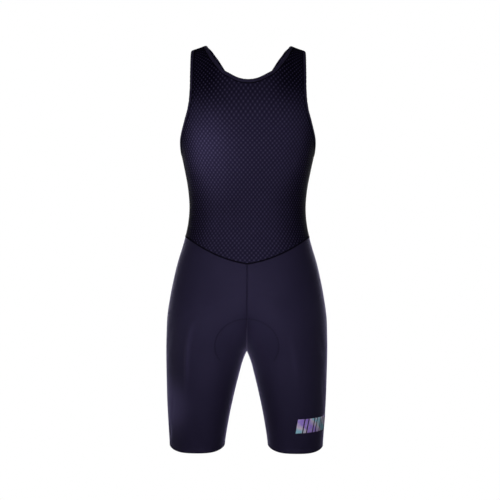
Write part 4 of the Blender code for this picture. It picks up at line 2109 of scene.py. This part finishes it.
@dataclass
class Studio:
    """White surroundings, soft lights and the camera."""

    centre: Vector = field(default_factory=lambda: Vector((0.0055, 0.0, -0.421)))
    distance: float = 2.8
    frame_height: float = 1.030
    roll: float = -0.30
    floor: float = -1.35
    aim_depth: float = -0.09
    side_world: float = 0.02
    front_world: float = 0.05
    card_power: float = 3.0
    floor_radius: float = 2.2
    floor_glow: Colour = (0.90, 0.90, 0.91)
    floor_base: Colour = (0.05, 0.05, 0.05)
    lamps: tuple[Lamp, ...] = (
        Lamp("key", -22, -0.36, 0.78, 0.45, 1.50),
        Lamp("hip_panel", 7, -0.54, 0.80, 0.30, 1.75, (0.004, -0.560)),
        Lamp("top_panel", 0, 0.60, 1.20, 0.50, 3.30, (0.004, -0.200)),
        Lamp("left_strip", -92, -0.82, 1.10, 0.45, 0.90, (0.004, -0.700)),
        Lamp("right_strip", 95, -0.70, 1.30, 0.45, 0.60, (0.004, -0.640)),
        Lamp("chest_spot", -27, -0.15, 1.00, 0.10, 32.0, (-0.104, -0.222), 11.5),
        Lamp("shoulder_spot", 25, -0.05, 1.00, 0.10, 6.0, (0.070, -0.200), 14),
        Lamp("thigh_spot", -25, -0.50, 1.00, 0.10, 1.5, (-0.110, -0.580), 14),
        Lamp("low_spot", 0, -0.65, 1.00, 0.10, 4.0, (0.002, -0.600), 12.5),
        Lamp("between_globe", 0, -0.74, 0.25, 0.10, 0.05, (0.0, -0.2), 360),
        Lamp("leg_glow", -55, -0.74, 1.00, 0.10, 80.0, (-0.229, -0.735), 4.8),
        Lamp("inside_globe", 0, -0.115, 0.02, 0.06, 0.30, (0.0, -0.2), 360),
        Lamp("back_key", 172, -0.36, 1.00, 0.50, 5.0),
        Lamp("back_left", -150, -0.36, 1.10, 0.50, 1.5),
        Lamp("back_right", 150, -0.36, 1.10, 0.50, 1.5),
    )

    def add_lamp(self, lamp: Lamp) -> None:
        """Adds one light, looking at the garment.

        Args:
            lamp: The light.
        """
        kind = "AREA" if lamp.cone == 0 else "POINT" if lamp.cone == 360 else "SPOT"
        data = bpy.data.lights.new(lamp.name, kind)
        if kind == "AREA":
            data.size = lamp.size
        else:
            data.shadow_soft_size = lamp.size / 2
        if kind == "SPOT":
            data.spot_size = radians(lamp.cone)
            data.spot_blend = 1.0
        data.energy = lamp.power
        light = bpy.data.objects.new(lamp.name, data)
        turn = radians(lamp.bearing)
        place = Vector((lamp.distance * np.sin(turn), -lamp.distance * np.cos(turn), lamp.height))
        light.location = place
        aim = Vector((lamp.aim[0], self.aim_depth, lamp.aim[1]))
        light.rotation_euler = (aim - place).to_track_quat("-Z", "Y").to_euler()
        bpy.context.scene.collection.objects.link(light)

    def add_world(self) -> None:
        """White to the camera; to the cloth, white cards before and behind it and dark flags beside it."""
        world = bpy.data.worlds.new("studio")
        bpy.context.scene.world = world
        world.use_nodes = True
        tree = world.node_tree

        def node(kind: str, **settings: object) -> bpy.types.Node:
            """Adds a node.

            Args:
                kind: Its type.
                settings: Its properties.

            Returns:
                The node.
            """
            made = tree.nodes.new(kind)
            for name, value in settings.items():
                setattr(made, name, value)
            return made

        way = node("ShaderNodeSeparateXYZ")
        tree.links.new(node("ShaderNodeTexCoord").outputs["Generated"], way.inputs[0])
        facing = node("ShaderNodeMath", operation="ABSOLUTE")
        tree.links.new(way.outputs["Y"], facing.inputs[0])
        card = node("ShaderNodeMath", operation="POWER")
        card.inputs[1].default_value = self.card_power
        tree.links.new(facing.outputs[0], card.inputs[0])
        light = node("ShaderNodeMath", operation="MULTIPLY_ADD")
        light.inputs[1].default_value = self.front_world
        light.inputs[2].default_value = self.side_world
        tree.links.new(card.outputs[0], light.inputs[0])
        seen = node("ShaderNodeLightPath")
        strength = node("ShaderNodeMath", operation="MAXIMUM")
        tree.links.new(seen.outputs["Is Camera Ray"], strength.inputs[0])
        tree.links.new(light.outputs[0], strength.inputs[1])
        tree.nodes["Background"].inputs["Color"].default_value = (*WHITE, 1)
        tree.links.new(strength.outputs[0], tree.nodes["Background"].inputs["Strength"])

    def add_floor(self) -> None:
        """A pale floor, well below the garment, that throws no light back on it."""
        bm = bmesh.new()
        bmesh.ops.create_circle(bm, cap_ends=True, segments=96, radius=self.floor_radius)
        bmesh.ops.translate(bm, verts=bm.verts, vec=(0, 0, self.floor))
        mesh = bpy.data.meshes.new("floor")
        bm.to_mesh(mesh)
        bm.free()
        floor = bpy.data.objects.new("floor", mesh)
        pale = Nodes("pale_floor", 0.9, 0.0)
        pale.shader.inputs["Base Color"].default_value = (*self.floor_base, 1)
        pale.shader.inputs["Emission Color"].default_value = (*self.floor_glow, 1)
        seen = pale.add("ShaderNodeLightPath").outputs["Is Camera Ray"]
        pale.join(seen, pale.shader.inputs["Emission Strength"])
        mesh.materials.append(pale.material)
        bpy.context.scene.collection.objects.link(floor)

    def build(self) -> None:
        """Sets up the surroundings."""
        scene = bpy.context.scene
        data = bpy.data.cameras.new("camera")
        data.sensor_width = 36.0
        data.lens = 36.0 * self.distance / self.frame_height
        camera = bpy.data.objects.new("camera", data)
        camera.location = self.centre + Vector((0, -self.distance, 0))
        camera.rotation_euler = (pi / 2, radians(self.roll), 0)
        scene.collection.objects.link(camera)
        scene.camera = camera
        scene.view_settings.view_transform = "Standard"
        self.add_world()
        self.add_floor()
        for lamp in self.lamps:
            self.add_lamp(lamp)


def main() -> None:
    """Builds the garment, piece by piece, and the studio."""
    logging.basicConfig(level=logging.INFO, format="%(name)s: %(message)s")
    form = BodyForm()
    cut = BibCut(form)
    knit = MeshKnit()
    mesh_knit, stretch_knit = knit.material(), StretchKnit().material()
    band, thread = RibBand().material(), Thread().material()
    # Near-black band: in the waist seam and the binding tapes it is partly painted shadow along those joins.
    dark_band = RibBand(
        "dark_band",
        ribs=900.0,
        base=(0.0018, 0.0014, 0.0042),
        light=(0.0048, 0.0039, 0.0100),
        gloss=0.05,
        fluff=0.0,
    ).material()
    dark_thread = Thread(
        "dark_thread", base=(0.0016, 0.0012, 0.0036), light=(0.0050, 0.0041, 0.0105), gloss=0.05
    ).material()
    plain_band = RibBand(
        "plain_band",
        ribs=900.0,
        base=(0.0140, 0.0114, 0.0295),
        light=(0.0180, 0.0148, 0.0375),
        gloss=0.1,
        fluff=0.3,
    ).material()
    bands = {"binding": dark_band, "mesh_knit": dark_band, "stretch_knit": plain_band}
    threads = {"binding": dark_thread, "mesh_knit": dark_thread, "stretch_knit": thread}
    panels = [BibPanel(form, cut, face, knit, mesh_knit).build() for face in Face]
    Bindings(form, cut, band, dark_band, dark_thread).build()
    halves = Shorts(form, stretch_knit).build()
    FlatSeams(form, cut, bands, threads).build()
    Hems(form, plain_band, thread).build()
    PadOutline(form, dark_thread).build()
    LegBlocks(form, HoloFilm().material()).build()
    SeatPad(form, PadCloth().material()).build()
    Studio().build()


if __name__ == "__main__":
    main()
